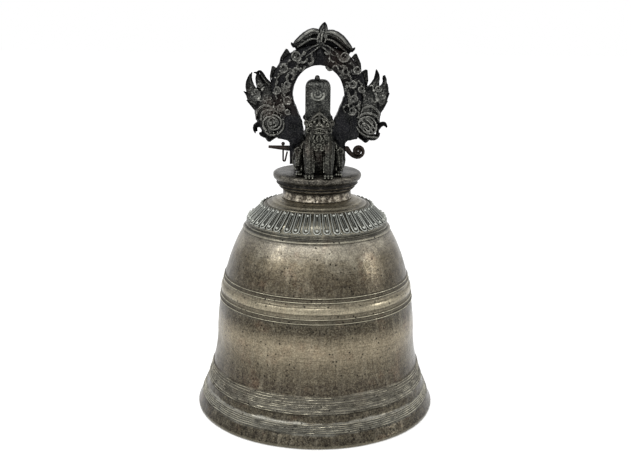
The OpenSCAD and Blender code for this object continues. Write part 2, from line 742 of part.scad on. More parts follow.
module hanger_pin() {
  tail_x = -leg_out - 0.7;
  tail_tilt = atan((pin_r - tail_tip_d / 2) / tail_l);
  color(iron)
  translate([0, 0, pin_z])
  difference() {
    union() {
      translate([tail_x, 0, 0]) rotate([0, 90, 0]) cylinder(h = bend_x - tail_x, r = pin_r);
      translate([bend_x, 0, 0]) sphere(pin_r);
      sweep(scroll_bar, 1, 10);
      translate([tail_x, 0, 0]) sphere(pin_r);
      translate([tail_x, 0, 0]) rotate([0, -90 + tail_tilt, 0])
        cylinder(h = tail_l, r1 = pin_r, r2 = tail_tip_d / 2);
    }
    translate([keeper_x, 0, 0]) cylinder(h = 4 * pin_r, r = wire_r + running_gap, center = true);
  }
}

// Keeper: a wire through the pin's tail with a knob on top, bent back on itself below

module keeper_pin() {
  knob_r = wire_r + 1;
  knob_z = pin_r + 0.15 + sqrt(knob_r * knob_r - pow(wire_r + running_gap, 2));
  bend_r = wire_r + 0.2;
  bend_z = -keeper_drop + wire_r + bend_r;
  tip = [keeper_out - 2.1, -pin_r - 0.6];
  run = tip - [2 * bend_r, bend_z];
  color(iron)
  translate([keeper_x, 0, pin_z]) {
    translate([0, 0, knob_z]) sphere(knob_r);
    translate([0, 0, bend_z]) cylinder(h = knob_z - bend_z, r = wire_r);
    translate([bend_r, 0, bend_z]) rotate([90, 180, 0])
      rotate_extrude(angle = 180) translate([bend_r, 0]) circle(wire_r);
    translate([2 * bend_r, 0, bend_z]) {
      sphere(wire_r);
      rotate([0, atan2(run[0], run[1]), 0]) cylinder(h = norm(run), r = wire_r);
    }
  }
}

bell_wall();
petals();
crown_disc();
suspension_lug();
front_lion();
rear_lion();
hanger_arch();
left_dragon();
right_dragon();
left_mane();
right_mane();
arch_scrolls();
left_fins();
right_fins();
crest_bud();
left_crest_leaf();
right_crest_leaf();
hanger_pin();
keeper_pin();
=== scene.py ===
# %% [markdown]
# # A temple bell and its dragon hanger
# The bell is cast bronze: a thick wall turned in wax, a crown with a tall lug, and two lions.
# A second casting, the hanger, straddles the lug on an iron pin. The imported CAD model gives
# every size, and each piece made here stands in the place of one CAD node and rides its body.

# %% Load the bell's frame
import math
import random

import bpy
from mathutils import Matrix, Vector


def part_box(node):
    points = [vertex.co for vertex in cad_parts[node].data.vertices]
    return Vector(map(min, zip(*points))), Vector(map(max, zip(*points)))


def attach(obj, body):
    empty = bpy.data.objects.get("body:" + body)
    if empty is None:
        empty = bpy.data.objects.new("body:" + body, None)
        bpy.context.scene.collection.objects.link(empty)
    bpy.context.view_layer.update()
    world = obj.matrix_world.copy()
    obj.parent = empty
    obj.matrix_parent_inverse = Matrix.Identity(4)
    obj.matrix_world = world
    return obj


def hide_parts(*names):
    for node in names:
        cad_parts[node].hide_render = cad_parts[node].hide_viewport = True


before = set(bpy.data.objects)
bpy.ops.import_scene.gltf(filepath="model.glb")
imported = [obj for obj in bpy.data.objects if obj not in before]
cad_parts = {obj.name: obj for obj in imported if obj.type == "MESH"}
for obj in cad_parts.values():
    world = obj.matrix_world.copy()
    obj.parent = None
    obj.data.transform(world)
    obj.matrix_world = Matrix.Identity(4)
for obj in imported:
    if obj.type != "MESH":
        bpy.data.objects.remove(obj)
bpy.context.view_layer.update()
mm = 0.001

# %% [markdown]
# ## A tidy bench
# Edit-mode operators act on whatever is selected, so every step first puts everything down.
# These few helpers pick a piece up, open its mesh, join pieces, and apply a modifier for good.

# %% Helpers for picking up pieces
def put_down():
    if bpy.context.object and bpy.context.object.mode != "OBJECT":
        bpy.ops.object.mode_set(mode="OBJECT")
    bpy.ops.object.select_all(action="DESELECT")


def pick_up(*pieces):
    put_down()
    for piece in pieces:
        piece.select_set(True)
    bpy.context.view_layer.objects.active = pieces[0]


def open_mesh(piece):
    pick_up(piece)
    bpy.ops.object.mode_set(mode="EDIT")
    bpy.ops.mesh.select_all(action="SELECT")


def close_mesh():
    bpy.ops.object.mode_set(mode="OBJECT")


def close_smooth():
    """Closes a mesh with its faces outward and smooth."""
    bpy.ops.mesh.normals_make_consistent(inside=False)
    close_mesh()
    bpy.ops.object.shade_smooth()


def new_piece(name, data):
    piece = bpy.data.objects.new(name, data)
    bpy.context.scene.collection.objects.link(piece)
    return piece


def join(name, parts):
    pick_up(*parts)
    bpy.ops.object.join()
    piece = bpy.context.object
    piece.name = piece.data.name = name
    return piece


def use(piece, kind, **settings):
    pick_up(piece)
    modifier = piece.modifiers.new(kind.lower(), kind)
    for setting, value in settings.items():
        setattr(modifier, setting, value)
    bpy.ops.object.modifier_apply(modifier=modifier.name)


def stand_in(piece, body, node, finish):
    """Gives a piece its finish and puts it in the place of a CAD node."""
    piece.data.materials.clear()
    piece.data.materials.append(finish)
    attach(piece, body)
    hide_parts(node)
    low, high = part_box(node)
    points = [v.co for v in piece.data.vertices]
    print(piece.name, len(piece.data.polygons), "faces; past its node by (mm)",
          [round((low[i] - min(p[i] for p in points)) / mm, 1) for i in range(3)],
          [round((max(p[i] for p in points) - high[i]) / mm, 1) for i in range(3)])


# %% [markdown]
# ## Sizes
# The CAD source gives these lengths in millimetres. The bell's outside is a flare below the
# waist and a blunt dome above it, and the petal collar stands on the dome's shoulder.

# %% Write down the sizes
LIP_R, LIP_Z, WAIST_R, WAIST_Z, DOME_H = 124.6, 4, 103, 84, 141.7
NECK_Z, CROWN_Z, LUG_H, LUG_T = 222, 249, 91.4, 16
DISC_R, NECK_R, DISC_H, NECK_H = 45.3, 35, 19.5, 7.5
ARCH_Z, ARCH_R, OPENING_R, ARCH_T = 326, 49, 24.2, 18
TOP_Z, HALF_T = ARCH_Z + ARCH_R, ARCH_T / 2
LION_SCALE, LION_SHIFT = 61.5 / 66, 1.6
PETALS, PETAL_W = 44, 7.0
SCROLL_X, SCROLL_Z = 40.9, 268.7
FLARE_POWER, DOME_POWER, DOME_ROOT = 1.87, 1.661, 0.3226
WAIST_T, LIP_T, HOLLOW_TOP_Z = 6, 11, 213.7


def cosd(degrees):
    return math.cos(math.radians(degrees))


def sind(degrees):
    return math.sin(math.radians(degrees))


def wall_r(z):
    """Radius of the bell's plain outside at a height, in mm."""
    if z < WAIST_Z:
        flare = (WAIST_Z - z) / (WAIST_Z - LIP_Z)
        return WAIST_R + (LIP_R - WAIST_R) * flare ** FLARE_POWER
    return WAIST_R * (1 - ((z - WAIST_Z) / DOME_H) ** DOME_POWER) ** DOME_ROOT


# The collar's cone in mm: foot, head, thickness, length, slope and the direction out of it
COLLAR_FOOT_Z, COLLAR_HEAD_Z, COLLAR_T = 197.2, 214.8, 1.4
collar_run = wall_r(COLLAR_FOOT_Z) - wall_r(COLLAR_HEAD_Z)
collar_rise = COLLAR_HEAD_Z - COLLAR_FOOT_Z
COLLAR_L, COLLAR_SLOPE = math.hypot(collar_run, collar_rise), math.atan2(collar_rise, collar_run)
COLLAR_OUT = Vector((math.sin(COLLAR_SLOPE), math.cos(COLLAR_SLOPE)))
COLLAR_MID = Vector(((wall_r(COLLAR_FOOT_Z) + wall_r(COLLAR_HEAD_Z)) / 2,
                     (COLLAR_FOOT_Z + COLLAR_HEAD_Z) / 2)) + COLLAR_OUT * COLLAR_T
print("collar", round(COLLAR_L, 1), "mm long at", round(math.degrees(COLLAR_SLOPE)), "degrees")

# %% [markdown]
# ## The camera
# The photograph looks down on the bell by 14.5 degrees from about 0.93 m away, which is why the
# crown disc shows its top while the mouth curves like a smile.

# %% Set up the camera
# Angles in degrees, and widths in the photograph's pixels
LOOKS_DOWN, ROLLS = 14.53, 0.59
PHOTO_WIDTH, OFF_CENTRE = 631, -0.99
bpy.ops.object.camera_add(location=(0, -0.933, 0.421))
camera = bpy.context.object
camera.rotation_euler = (Matrix.Rotation(math.radians(90 - LOOKS_DOWN), 4, "X")
                         @ Matrix.Rotation(math.radians(ROLLS), 4, "Z")).to_euler()
camera.data.sensor_width = 36
camera.data.lens = 53.17
camera.data.shift_x = OFF_CENTRE / PHOTO_WIDTH
bpy.context.scene.camera = camera

# %% [markdown]
# ## Plain studio light
# Old bronze shows the room more than its own colour, so the room is even and white, with one
# wide soft lamp in front. Three small lamps stand where their reflections fall on the dome as
# the pale patches of the photograph.

# %% Set up floor, room and lamps
put_down()
bpy.ops.mesh.primitive_plane_add(size=12, location=(0, 0, 0))
floor = bpy.context.object
floor.name = "studio_floor"

room = bpy.data.worlds.new("studio_room")
bpy.context.scene.world = room
room.use_nodes = True
scene = bpy.context.scene
scene.view_settings.view_transform = "Standard"


def add(tree, kind, sockets=None, **settings):
    """Adds a shader node, sets it up and wires or fills its sockets."""
    node = tree.nodes.new("ShaderNode" + kind)
    for setting, value in settings.items():
        setattr(node, setting, value)
    for socket, value in (sockets or {}).items():
        if isinstance(value, bpy.types.NodeSocket):
            tree.links.new(value, node.inputs[socket])
        else:
            node.inputs[socket].default_value = value
    return node


def reckon(tree, operation, *values):
    return add(tree, "Math", dict(enumerate(values)), operation=operation).outputs[0]


def blend(tree, share, one, other, how="MIX"):
    return add(tree, "Mix", {0: share, 6: one, 7: other}, data_type="RGBA",
               blend_type=how).outputs[2]


def white_where_seen(tree, dim):
    """White to the camera and in reflections, and the given grey as a light."""
    path = add(tree, "LightPath").outputs
    seen = reckon(tree, "MAXIMUM", path["Is Camera Ray"], path["Is Glossy Ray"])
    seen = reckon(tree, "MAXIMUM", seen, path["Is Transmission Ray"])
    return blend(tree, seen, (dim, dim, dim, 1), (1, 1, 1, 1))


room.node_tree.nodes.clear()
sky = add(room.node_tree, "Background", {0: white_where_seen(room.node_tree, 0.62), 1: 1})
add(room.node_tree, "OutputWorld", {0: sky.outputs[0]})


def lamp(name, place, aim, size, watts):
    bpy.ops.object.light_add(type="AREA", location=place)
    light = bpy.context.object
    light.name = name
    light.data.size = size
    light.data.energy = watts
    light.rotation_euler = (Vector(aim) - Vector(place)).to_track_quat("-Z", "Y").to_euler()


lamp("front_softbox", (-0.7, -1.5, 1.3), (0, 0, 0.2), size=1.2, watts=8)
lamp("left_window", (-1.02, -0.63, 0.82), (-0.036, -0.07, 0.178), size=0.24, watts=3)
lamp("middle_window", (0.06, -0.92, 1.18), (0.005, -0.075, 0.19), size=0.42, watts=3.7)
lamp("right_window", (1.29, -0.27, 0.52), (0.054, -0.065, 0.17), size=0.22, watts=2.8)

# %% [markdown]
# ## Finishes
# Every finish is mixed from noise on Object coordinates, so it stays on the metal when a piece
# moves. Old bronze is olive-brown and peppered with casting pits and bright specks about a
# millimetre across. Its hollows and the deep parts of its reliefs are painted dark, as shade,
# and its edges and crests pale, as wear and painted highlight. The bell's colour bands also
# carry painted light and shade.

# %% Mix the finishes
def new_finish(name):
    finish = bpy.data.materials.new(name)
    finish.use_nodes = True
    finish.node_tree.nodes.clear()
    return finish, finish.node_tree


def noise(tree, vector, scale, detail, rough=0.55, stretch=None):
    if stretch:
        vector = add(tree, "Mapping", {0: vector, 3: stretch}).outputs[0]
    return add(tree, "TexNoise", {"Vector": vector, "Scale": scale, "Detail": detail,
                                  "Roughness": rough}).outputs[0]


def steps(tree, value, low, high, to_low=0.0, to_high=1.0):
    return add(tree, "MapRange", {0: value, 1: low, 2: high, 3: to_low, 4: to_high},
               clamp=True).outputs[0]


def times(tree, one, other):
    return reckon(tree, "MULTIPLY", one, other)


def plus(tree, one, other):
    return reckon(tree, "ADD", one, other)


def height_of(tree, place):
    return add(tree, "SeparateXYZ", {0: place}).outputs[2]


def length_along(tree, vector, axes):
    """How long a vector is along the chosen axes, which are 1, and not along the others."""
    flat = add(tree, "VectorMath", {0: vector, 1: axes}, operation="MULTIPLY").outputs[0]
    return add(tree, "VectorMath", {0: flat}, operation="LENGTH").outputs[1]


def paint(red, green, blue):
    """A colour as it is seen, 0 to 255, as the linear colour that the shader wants."""
    def linear(c):
        c = c / 255
        return c / 12.92 if c <= 0.04045 else ((c + 0.055) / 1.055) ** 2.4
    return (linear(red), linear(green), linear(blue), 1)


def bronze(name, colour, dark, pale, pits=0.4, specks=0.2, metallic=0.9, rough=0.28,
           relief=0.35, wear_and_sheen_from=0.515, wear_and_sheen_share=0.6, hollow_shade=0.95, raised=None, crests=0):
    """Pitted old bronze. colour(tree, place) gives the skin before pits, painted shade and pale
    edges. dark lies in the pits and, as painted shade, in the hollows. pale lies on edges from the
    pointiness wear_and_sheen_from on, as wear and painted highlight. pits, specks,
    wear_and_sheen_share, hollow_shade and crests are how much each one shows.
    raised(tree, place) gives 0 between a relief's rolls, which is painted dark as shade, 0.5 on
    plain metal and 1 on the rolls' crests, which are painted pale as wear and highlight."""
    finish, tree = new_finish(name)
    place = add(tree, "TexCoord").outputs["Object"]
    skin, dark, pale = colour(tree, place), paint(*dark), paint(*pale)
    # Specks, then pale edges as wear and painted highlight, and painted shade in the hollows
    bright = steps(tree, noise(tree, place, 800, 2, 0.6), 0.5, 0.64)
    dull = steps(tree, noise(tree, place, 620, 3, 0.65), 0.49, 0.37)
    skin = blend(tree, times(tree, bright, specks * 0.6), skin, pale)
    skin = blend(tree, times(tree, dull, specks), skin, dark)
    point = add(tree, "NewGeometry").outputs["Pointiness"]
    edge_wear_and_sheen = steps(tree, point, wear_and_sheen_from, wear_and_sheen_from + 0.07)
    sunk = steps(tree, point, 0.488, 0.44)
    # A relief: painted shade between its rolls, and wear with painted highlight on their crests
    if raised:
        top = raised(tree, place)
        sunk = reckon(tree, "MAXIMUM", sunk, steps(tree, top, 0.45, 0.05))
        edge_wear_and_sheen = times(tree, edge_wear_and_sheen, steps(tree, top, 0.2, 0.8, 0.2, 1))
        crest_wear_and_sheen = times(tree, steps(tree, noise(tree, place, 170, 4, 0.6), 0.3, 0.6, 0.25, 1),
                       steps(tree, top, 0.6, 0.95))
        skin = blend(tree, times(tree, crest_wear_and_sheen, crests), skin, pale)
    skin = blend(tree, times(tree, edge_wear_and_sheen, wear_and_sheen_share), skin, pale)
    skin = blend(tree, times(tree, sunk, hollow_shade), skin, dark)
    # Casting pits, one in about every second cell
    cells = add(tree, "TexVoronoi", {"Vector": place, "Scale": 210, "Randomness": 1}).outputs
    chosen = steps(tree, cells["Color"], 0.5, 0.62)
    pit = times(tree, steps(tree, cells["Distance"], 0.24, 0.15), times(tree, chosen, pits))
    skin = blend(tree, pit, skin, dark)
    # Relief and gloss
    height = plus(tree, times(tree, noise(tree, place, 480, 4, 0.65), 0.5),
                  times(tree, noise(tree, place, 90, 4, 0.5), 0.5))
    height = plus(tree, height, times(tree, pit, -0.7))
    bump = add(tree, "Bump", {"Strength": relief, "Distance": 0.0012, "Height": height})
    gloss = steps(tree, noise(tree, place, 45, 5), 0.3, 0.7, rough - 0.08, rough + 0.1)
    gloss = plus(tree, gloss, times(tree, sunk, 0.25))
    shader = add(tree, "BsdfPrincipled", {
        "Base Color": skin, "Metallic": metallic, "Roughness": gloss, "Normal": bump.outputs[0],
        "Specular IOR Level": 0.25})
    add(tree, "OutputMaterial", {0: shader.outputs[0]})
    return finish


# Colours of the bell from the mouth up: height in mm, then the colour seen there. So
# besides the metal's tone they hold painted light and shade: painted shade on the flare
# and under the belt, and painted light on the hem's lines, by the waist and on the upper dome.
BELL_TONE_AND_LIGHT_ZONES = [
    (0, 26, 23, 19), (13.4, 33, 30, 26), (15.4, 150, 150, 142), (23.4, 150, 149, 141),
    (25, 44, 41, 35), (31, 44, 41, 35), (32.6, 150, 147, 136), (46.5, 144, 140, 128),
    (48.5, 48, 43, 37), (57, 54, 48, 41), (64, 72, 66, 55), (72, 84, 77, 64),
    (82, 115, 106, 89), (94, 128, 118, 99), (109, 50, 45, 37), (114, 46, 42, 35),
    (119, 72, 69, 60), (131, 150, 142, 122), (139, 86, 81, 70), (144, 60, 55, 46),
    (154, 58, 51, 41), (172, 85, 78, 65), (187, 124, 119, 109), (195, 82, 84, 80),
    (215, 88, 87, 80), (NECK_Z, 132, 124, 106),
]
# Stains over them: noise scale, detail, roughness and stretch, where the noise starts and
# ends to stain, how much it does, and the stain's colour
BELL_STAINS = [
    (22, 6, 0.6, None, 0.34, 0.66, 0.3, (66, 58, 47)),  # brown blotches
    (38, 5, 0.6, None, 0.56, 0.7, 0.3, (104, 78, 62)),  # rust
    (320, 5, 0.7, None, 0.44, 0.64, 0.14, (158, 148, 122)),  # mottle
    (160, 4, 0.6, (1, 1, 0.12), 0.5, 0.75, 0.18, (176, 168, 148)),  # runs of water
    (50, 4, 0.65, (1, 1, 12), 0.5, 0.66, 0.45, (50, 45, 37)),  # turning marks
]


def bell_colour(tree, place):
    height = height_of(tree, place)
    wander = steps(tree, noise(tree, place, 30, 3), 0.2, 0.8, -2 * mm, 2 * mm)
    # The bands' tones, with their painted light and shade, laid along the height
    ramp = add(tree, "ValToRGB", {0: steps(tree, plus(tree, height, wander), 0, NECK_Z * mm)})
    stops = ramp.color_ramp.elements
    for stop, zone in ((stops[0], BELL_TONE_AND_LIGHT_ZONES[0]), (stops[1], BELL_TONE_AND_LIGHT_ZONES[-1])):
        stop.position, stop.color = zone[0] / NECK_Z, paint(*zone[1:])
    for z, *rgb in BELL_TONE_AND_LIGHT_ZONES[1:-1]:
        stops.new(z / NECK_Z).color = paint(*rgb)
    skin = ramp.outputs[0]
    for scale, detail, rough, stretch, low, high, share, rgb in BELL_STAINS:
        stain = steps(tree, noise(tree, place, scale, detail, rough, stretch), low, high)
        skin = blend(tree, times(tree, stain, share), skin, paint(*rgb))
    # Pale patches on the upper dome, round a height of 180 mm: worn metal, and painted
    # reflections of the room's lights
    level = reckon(tree, "ABSOLUTE", reckon(tree, "SUBTRACT", height, 180 * mm))
    wear_and_sheen_patch = times(tree, steps(tree, noise(tree, place, 34, 4), 0.5, 0.62),
                  steps(tree, level, 22 * mm, 4 * mm))
    skin = blend(tree, times(tree, wear_and_sheen_patch, 0.3), skin, paint(190, 184, 166))
    # Fine grain, lighter and darker than the tone under it
    grain = steps(tree, noise(tree, place, 640, 4, 0.7), 0.36, 0.64, 0.66, 1.5)
    return blend(tree, 1, skin, grain, "MULTIPLY")


def ridge_marks(tree, place):
    """Reads the marks that the turned wall carries: painted shade in the grooves, and pale
    crests that stand for wear and painted highlight.
    """
    marks = add(tree, "Attribute", attribute_name="ridge").outputs["Fac"]
    return steps(tree, marks, -1, 1)


def petal_colour(tree, place):
    patina = steps(tree, noise(tree, place, 120, 5, 0.6), 0.4, 0.6)
    skin = blend(tree, patina, paint(46, 51, 49), paint(82, 84, 79))
    foot = steps(tree, height_of(tree, place), 0.207, 0.199)
    return blend(tree, times(tree, foot, 0.5), skin, paint(14, 15, 15))


def above_collar(tree, place):
    """How far a point stands out of the collar's cone, 0 on it to 1 on a petal's rim."""
    out = plus(tree, times(tree, length_along(tree, place, (1, 1, 0)), COLLAR_OUT[0]),
               times(tree, height_of(tree, place), COLLAR_OUT[1]))
    base = (COLLAR_MID[0] * COLLAR_OUT[0] + COLLAR_MID[1] * COLLAR_OUT[1]) * mm
    return steps(tree, out, base + 0.4 * mm, base + 1.9 * mm)


def crown_colour(tree, place):
    crust = steps(tree, noise(tree, place, 230, 5, 0.7), 0.47, 0.55)
    neck = blend(tree, crust, paint(62, 54, 45), paint(170, 162, 146))
    wavy = steps(tree, noise(tree, place, 130, 6, 0.75, (1, 1, 2.5)), 0.45, 0.6)
    disc = blend(tree, wavy, paint(25, 23, 22), paint(88, 85, 79))
    height = height_of(tree, place)
    # The disc's underside is painted a flat dark colour, as shade
    under = blend(tree, steps(tree, height, 0.238, 0.2405), paint(42, 39, 36), disc)
    return blend(tree, steps(tree, height, 0.2285, 0.2305), neck, under)


def cast_colour(dim, lit, tint, tint_share):
    """A cloudy mix of two tones, with stains of a third."""
    def colour(tree, place):
        cloud = steps(tree, noise(tree, place, 110, 5, 0.65), 0.38, 0.62)
        skin = blend(tree, cloud, paint(*dim), paint(*lit))
        stain = steps(tree, noise(tree, place, 24, 4, 0.5), 0.55, 0.7)
        return blend(tree, times(tree, stain, tint_share), skin, paint(*tint))
    return colour


def lion_colour(tree, place):
    """Greyer and lighter at the head, nearly black and brown on the legs."""
    head = cast_colour((38, 38, 37), (92, 90, 83), (72, 60, 50), 0.4)(tree, place)
    legs = cast_colour((5, 5, 5), (17, 16, 15), (38, 27, 23), 0.6)(tree, place)
    return blend(tree, steps(tree, height_of(tree, place), 0.284, 0.302), legs, head)


# As a finish's raised, this paints shade where a relief lies deep, near the middle plane, and wear
# with painted highlight on its parts furthest out
def off_plane(low, high, ground=0):
    """Rises from ground to 1 between two distances (mm) from the hanger's middle plane."""
    def raised(tree, place):
        across = reckon(tree, "ABSOLUTE", add(tree, "SeparateXYZ", {0: place}).outputs[1])
        return steps(tree, across, low * mm, high * mm, ground, 1)
    return raised


def band_shade(tree, place):
    """Painted shade on the arch's band, where foliage covers it, and plain on the webs below."""
    centred = add(tree, "VectorMath", {0: place, 1: (0, 0, -ARCH_Z * mm)}, operation="ADD")
    radius = length_along(tree, centred.outputs[0], (1, 0, 1))
    band = times(tree, steps(tree, radius, 48.6 * mm, 47 * mm),
                 steps(tree, height_of(tree, place), (ARCH_Z - 24) * mm, (ARCH_Z - 16) * mm))
    return steps(tree, band, 0, 1, 0.5, 0.3)


# Painted shade where a relief lies within low mm of the middle plane, and wear with painted
# highlight on crests out past high mm
def hanger_finish(name, low, high, crests):
    return bronze(name, cast_colour((17, 18, 19), (50, 50, 48), (56, 43, 36), 0.4),
                  (3, 3, 4), (176, 176, 168), pits=0.5, specks=0.4, wear_and_sheen_from=0.514,
                  wear_and_sheen_share=0.95, hollow_shade=0.97, raised=off_plane(low, high), crests=crests)


bell_skin = bronze(
    "bell_bronze", bell_colour, (28, 25, 21), (186, 180, 158), pits=0.9, metallic=0.85,
    rough=0.3, relief=0.14, wear_and_sheen_from=0.52, wear_and_sheen_share=0.5, hollow_shade=0.6, raised=ridge_marks,
    crests=1)
# Painted shade on the collar between the petals, and wear with painted highlight on their rims and
# beads
petal_skin = bronze(
    "petal_bronze", petal_colour, (10, 11, 11), (184, 186, 178), pits=0.2, specks=0.3,
    metallic=0.8, rough=0.34, relief=0.2, wear_and_sheen_from=0.505, raised=above_collar, crests=0.4)
crown_skin = bronze(
    "crown_bronze", crown_colour, (14, 13, 12), (156, 150, 136), pits=0.8, specks=0.7,
    metallic=0.8, rough=0.36, relief=0.4, wear_and_sheen_from=0.52, wear_and_sheen_share=0.7, hollow_shade=0.9,
    raised=ridge_marks, crests=0.75)
# The lug's crescents and beads are painted pale, as wear and highlight
lug_skin = bronze(
    "lug_bronze", cast_colour((25, 26, 26), (58, 59, 57), (46, 40, 35), 0.35), (8, 8, 9),
    (142, 143, 135), pits=0.6, specks=0.6, metallic=0.85, rough=0.36, relief=0.4, hollow_shade=0.9,
    raised=off_plane(8.1, 8.7, 0.5), crests=0.7)
# The lion is painted dark, as shade, where it lies deep towards the lug, as in the gap between its
# forelegs
lion_skin = bronze(
    "lion_bronze", lion_colour, (3, 3, 4), (156, 156, 144), specks=0.25, wear_and_sheen_from=0.514,
    wear_and_sheen_share=0.8, hollow_shade=0.97, raised=off_plane(17, 32), crests=0.04)
# The arch carries painted shade on its band under the foliage
arch_skin = bronze(
    "arch_bronze", cast_colour((12, 13, 15), (28, 28, 31), (44, 33, 28), 0.6), (3, 3, 4),
    (130, 130, 124), rough=0.3, raised=band_shade)
foliage_skin = hanger_finish("foliage_bronze", 8.2, 12.2, 0.3)
dragon_skin = hanger_finish("dragon_bronze", 6, 12, 0.14)
flame_skin = hanger_finish("flame_bronze", 1.5, 7, 0.26)
crest_skin = hanger_finish("crest_bronze", 2.3, 6.5, 0.34)
iron_skin = bronze(
    "pin_iron", cast_colour((24, 21, 20), (48, 38, 33), (84, 50, 36), 0.7), (9, 8, 8),
    (104, 92, 82), pits=0.7, specks=0.4, metallic=0.6, rough=0.5, relief=0.8, wear_and_sheen_share=0.5,
    hollow_shade=0.8)

floor_white, tree = new_finish("floor_white")
matt = add(tree, "BsdfDiffuse", {0: (0.9, 0.9, 0.9, 1)})
glow = add(tree, "Emission", {0: white_where_seen(tree, 0), 1: 0.5})
lit_floor = add(tree, "AddShader", {0: matt.outputs[0], 1: glow.outputs[0]})
add(tree, "OutputMaterial", {0: lit_floor.outputs[0]})
floor.data.materials.append(floor_white)

# %% [markdown]
# ## The bell wall
# A founder shapes the wax of a bell against a board cut to half its outline. Here the outline
# is drawn the same way, one vertex pushed along it, and then spun round the axis in one turn.
# The ridges follow the CAD source, except that one low swelling of the hem is drawn as the
# three fine lines that the photograph shows. Hand-laid wax is never quite true, so the hem's
# lines wander, and two noise displacements let the wall sink a little, always inwards.

# %% Turn the bell wall
# Each ridge from the mouth up: height, half its width, how far it stands out
RIDGES = [(15.8 + up, 0.75, 1.1) for up in (0, 1.9, 3.6, 5.3, 7)]
RIDGES += [(z, 0.75, 1.1) for z in (32.4, 34.5)]
RIDGES += [(z, 0.6, 0.7) for z in (37, 38.5, 40)]
RIDGES += [(z, 0.75, 1.1) for z in (42.3, 45, 47.3, 118.6, 123)]
RIDGES += [(130.6, 3.9, 1.5), (138.5, 0.75, 1.1), (142.6, 0.75, 1.1), (191.9, 1.3, 1.4),
           (195.4, 0.9, 1.1)]
# Fine rings between the collar and the neck: height and how far each stands out
SHOULDER_RINGS = ((216.5, 1), (219.2, 0.9), (221.2, 0.5))
# The mark of a groove, which is painted dark as shade
GROOVE_SHADE = -0.3


def mark_ridges(piece, ridges, outside):
    """Marks a turned piece's skin, from the radius outside(z) out, along its ridges. Each is a
    height, half its width and how much its crest is painted pale, as wear and highlight. Its
    feet are marked as grooves, for painted shade."""
    def mark_at(z):
        mark = 0
        for middle, half, crest in ridges:
            if abs(z - middle) < half * 0.85:
                return crest
            if abs(z - middle) < half + 0.3:
                mark = GROOVE_SHADE
        return mark

    marks = piece.data.attributes.new("ridge", "FLOAT", "POINT")
    for v in piece.data.vertices:
        z, radius = v.co.z / mm, math.hypot(v.co.x, v.co.y)
        marks.data[v.index].value = mark_at(z) if radius > outside(z) * mm else 0


def ring_line(radius_at, middle, half, out, angles):
    """The round outline of one ring, over a plain outline radius_at(z)."""
    return [(radius_at(z) + out * max(cosd(a), 0) ** 0.7, z)
            for a, z in [(a, middle + half * sind(a)) for a in angles]]


def outside_line():
    line = [(LIP_R - 2.4, 0), (LIP_R - 0.5, 1.2), (LIP_R, LIP_Z)]
    z = LIP_Z
    for middle, half, out in RIDGES:
        rise = middle - half - z
        count = max(1, math.ceil(rise / 1.5))
        plain = [z + rise * i / count for i in range(1, count)]
        line += [(wall_r(level), level) for level in plain]
        line += ring_line(wall_r, middle, half, out, (-90, -68, -40, 0, 40, 68, 90))
        z = middle + half
    out = COLLAR_OUT * COLLAR_T
    line += [(wall_r(z), z) for z in (COLLAR_FOOT_Z - 0.6, COLLAR_FOOT_Z)]
    line += [(wall_r(z) + out[0], z + out[1]) for z in (COLLAR_FOOT_Z, COLLAR_HEAD_Z)]
    line += [(wall_r(z), z) for z in (COLLAR_HEAD_Z, COLLAR_HEAD_Z + 0.6)]
    for middle, out in SHOULDER_RINGS:
        line += [(wall_r(middle + off) + out * share, middle + off)
                 for off, share in ((-0.7, 0), (-0.3, 0.8), (0, 1), (0.3, 0.8), (0.7, 0))]
    return line + [(wall_r(NECK_Z), NECK_Z)]


def inside_line():
    """The hollow, from its top down. Below the waist the wall thickens towards the lip. It
    leans there and is measured level, so its thickness counts 1.05 times."""
    line = [(0, HOLLOW_TOP_Z)]
    hollow_r, hollow_h = WAIST_R - WAIST_T, DOME_H - 2 * WAIST_T
    for i in range(1, 21):
        share = i / 20
        line.append((hollow_r * share, WAIST_Z + hollow_h
                     * (1 - share ** (1 / DOME_ROOT)) ** (1 / DOME_POWER)))
    for i in range(1, 15):
        z = WAIST_Z * (1 - i / 14)
        thick = WAIST_T + (LIP_T - WAIST_T) * max(1 - z / WAIST_Z, 0) ** 1.5
        line.append((wall_r(z) - thick * 1.05, z))
    return line


def turn(name, line, sides):
    """Spins a line of (radius, height) in mm about the bell's axis."""
    put_down()
    bpy.ops.mesh.primitive_plane_add(size=mm)
    piece = bpy.context.object
    piece.name = piece.data.name = name
    open_mesh(piece)
    bpy.ops.mesh.merge(type="CENTER")
    bpy.ops.transform.translate(value=(line[0][0] * mm, 0, line[0][1] * mm))
    for here, there in zip(line, line[1:]):
        push = ((there[0] - here[0]) * mm, 0, (there[1] - here[1]) * mm)
        bpy.ops.mesh.extrude_vertices_move(TRANSFORM_OT_translate={"value": push})
    bpy.ops.mesh.select_all(action="SELECT")
    bpy.ops.mesh.spin(steps=sides, angle=2 * math.pi, center=(0, 0, 0), axis=(0, 0, 1),
                      use_auto_merge=True)
    bpy.ops.mesh.select_all(action="SELECT")
    bpy.ops.mesh.remove_doubles(threshold=0.01 * mm)
    close_smooth()
    return piece


def uneven(piece, size, depth, **where):
    """Shifts the surface by up to depth mm in soft patches of the given size in mm, inwards
    if nothing else is asked for."""
    pattern = bpy.data.textures.new(piece.name + "_wax", "CLOUDS")
    pattern.noise_scale = size * mm
    pattern.noise_depth = 2
    settings = dict(texture=pattern, strength=depth * mm, mid_level=1.0, texture_coords="LOCAL")
    use(piece, "DISPLACE", **{**settings, **where})


wall = turn("bell_wall_cast", inside_line() + outside_line() + [(0, NECK_Z)], 288)
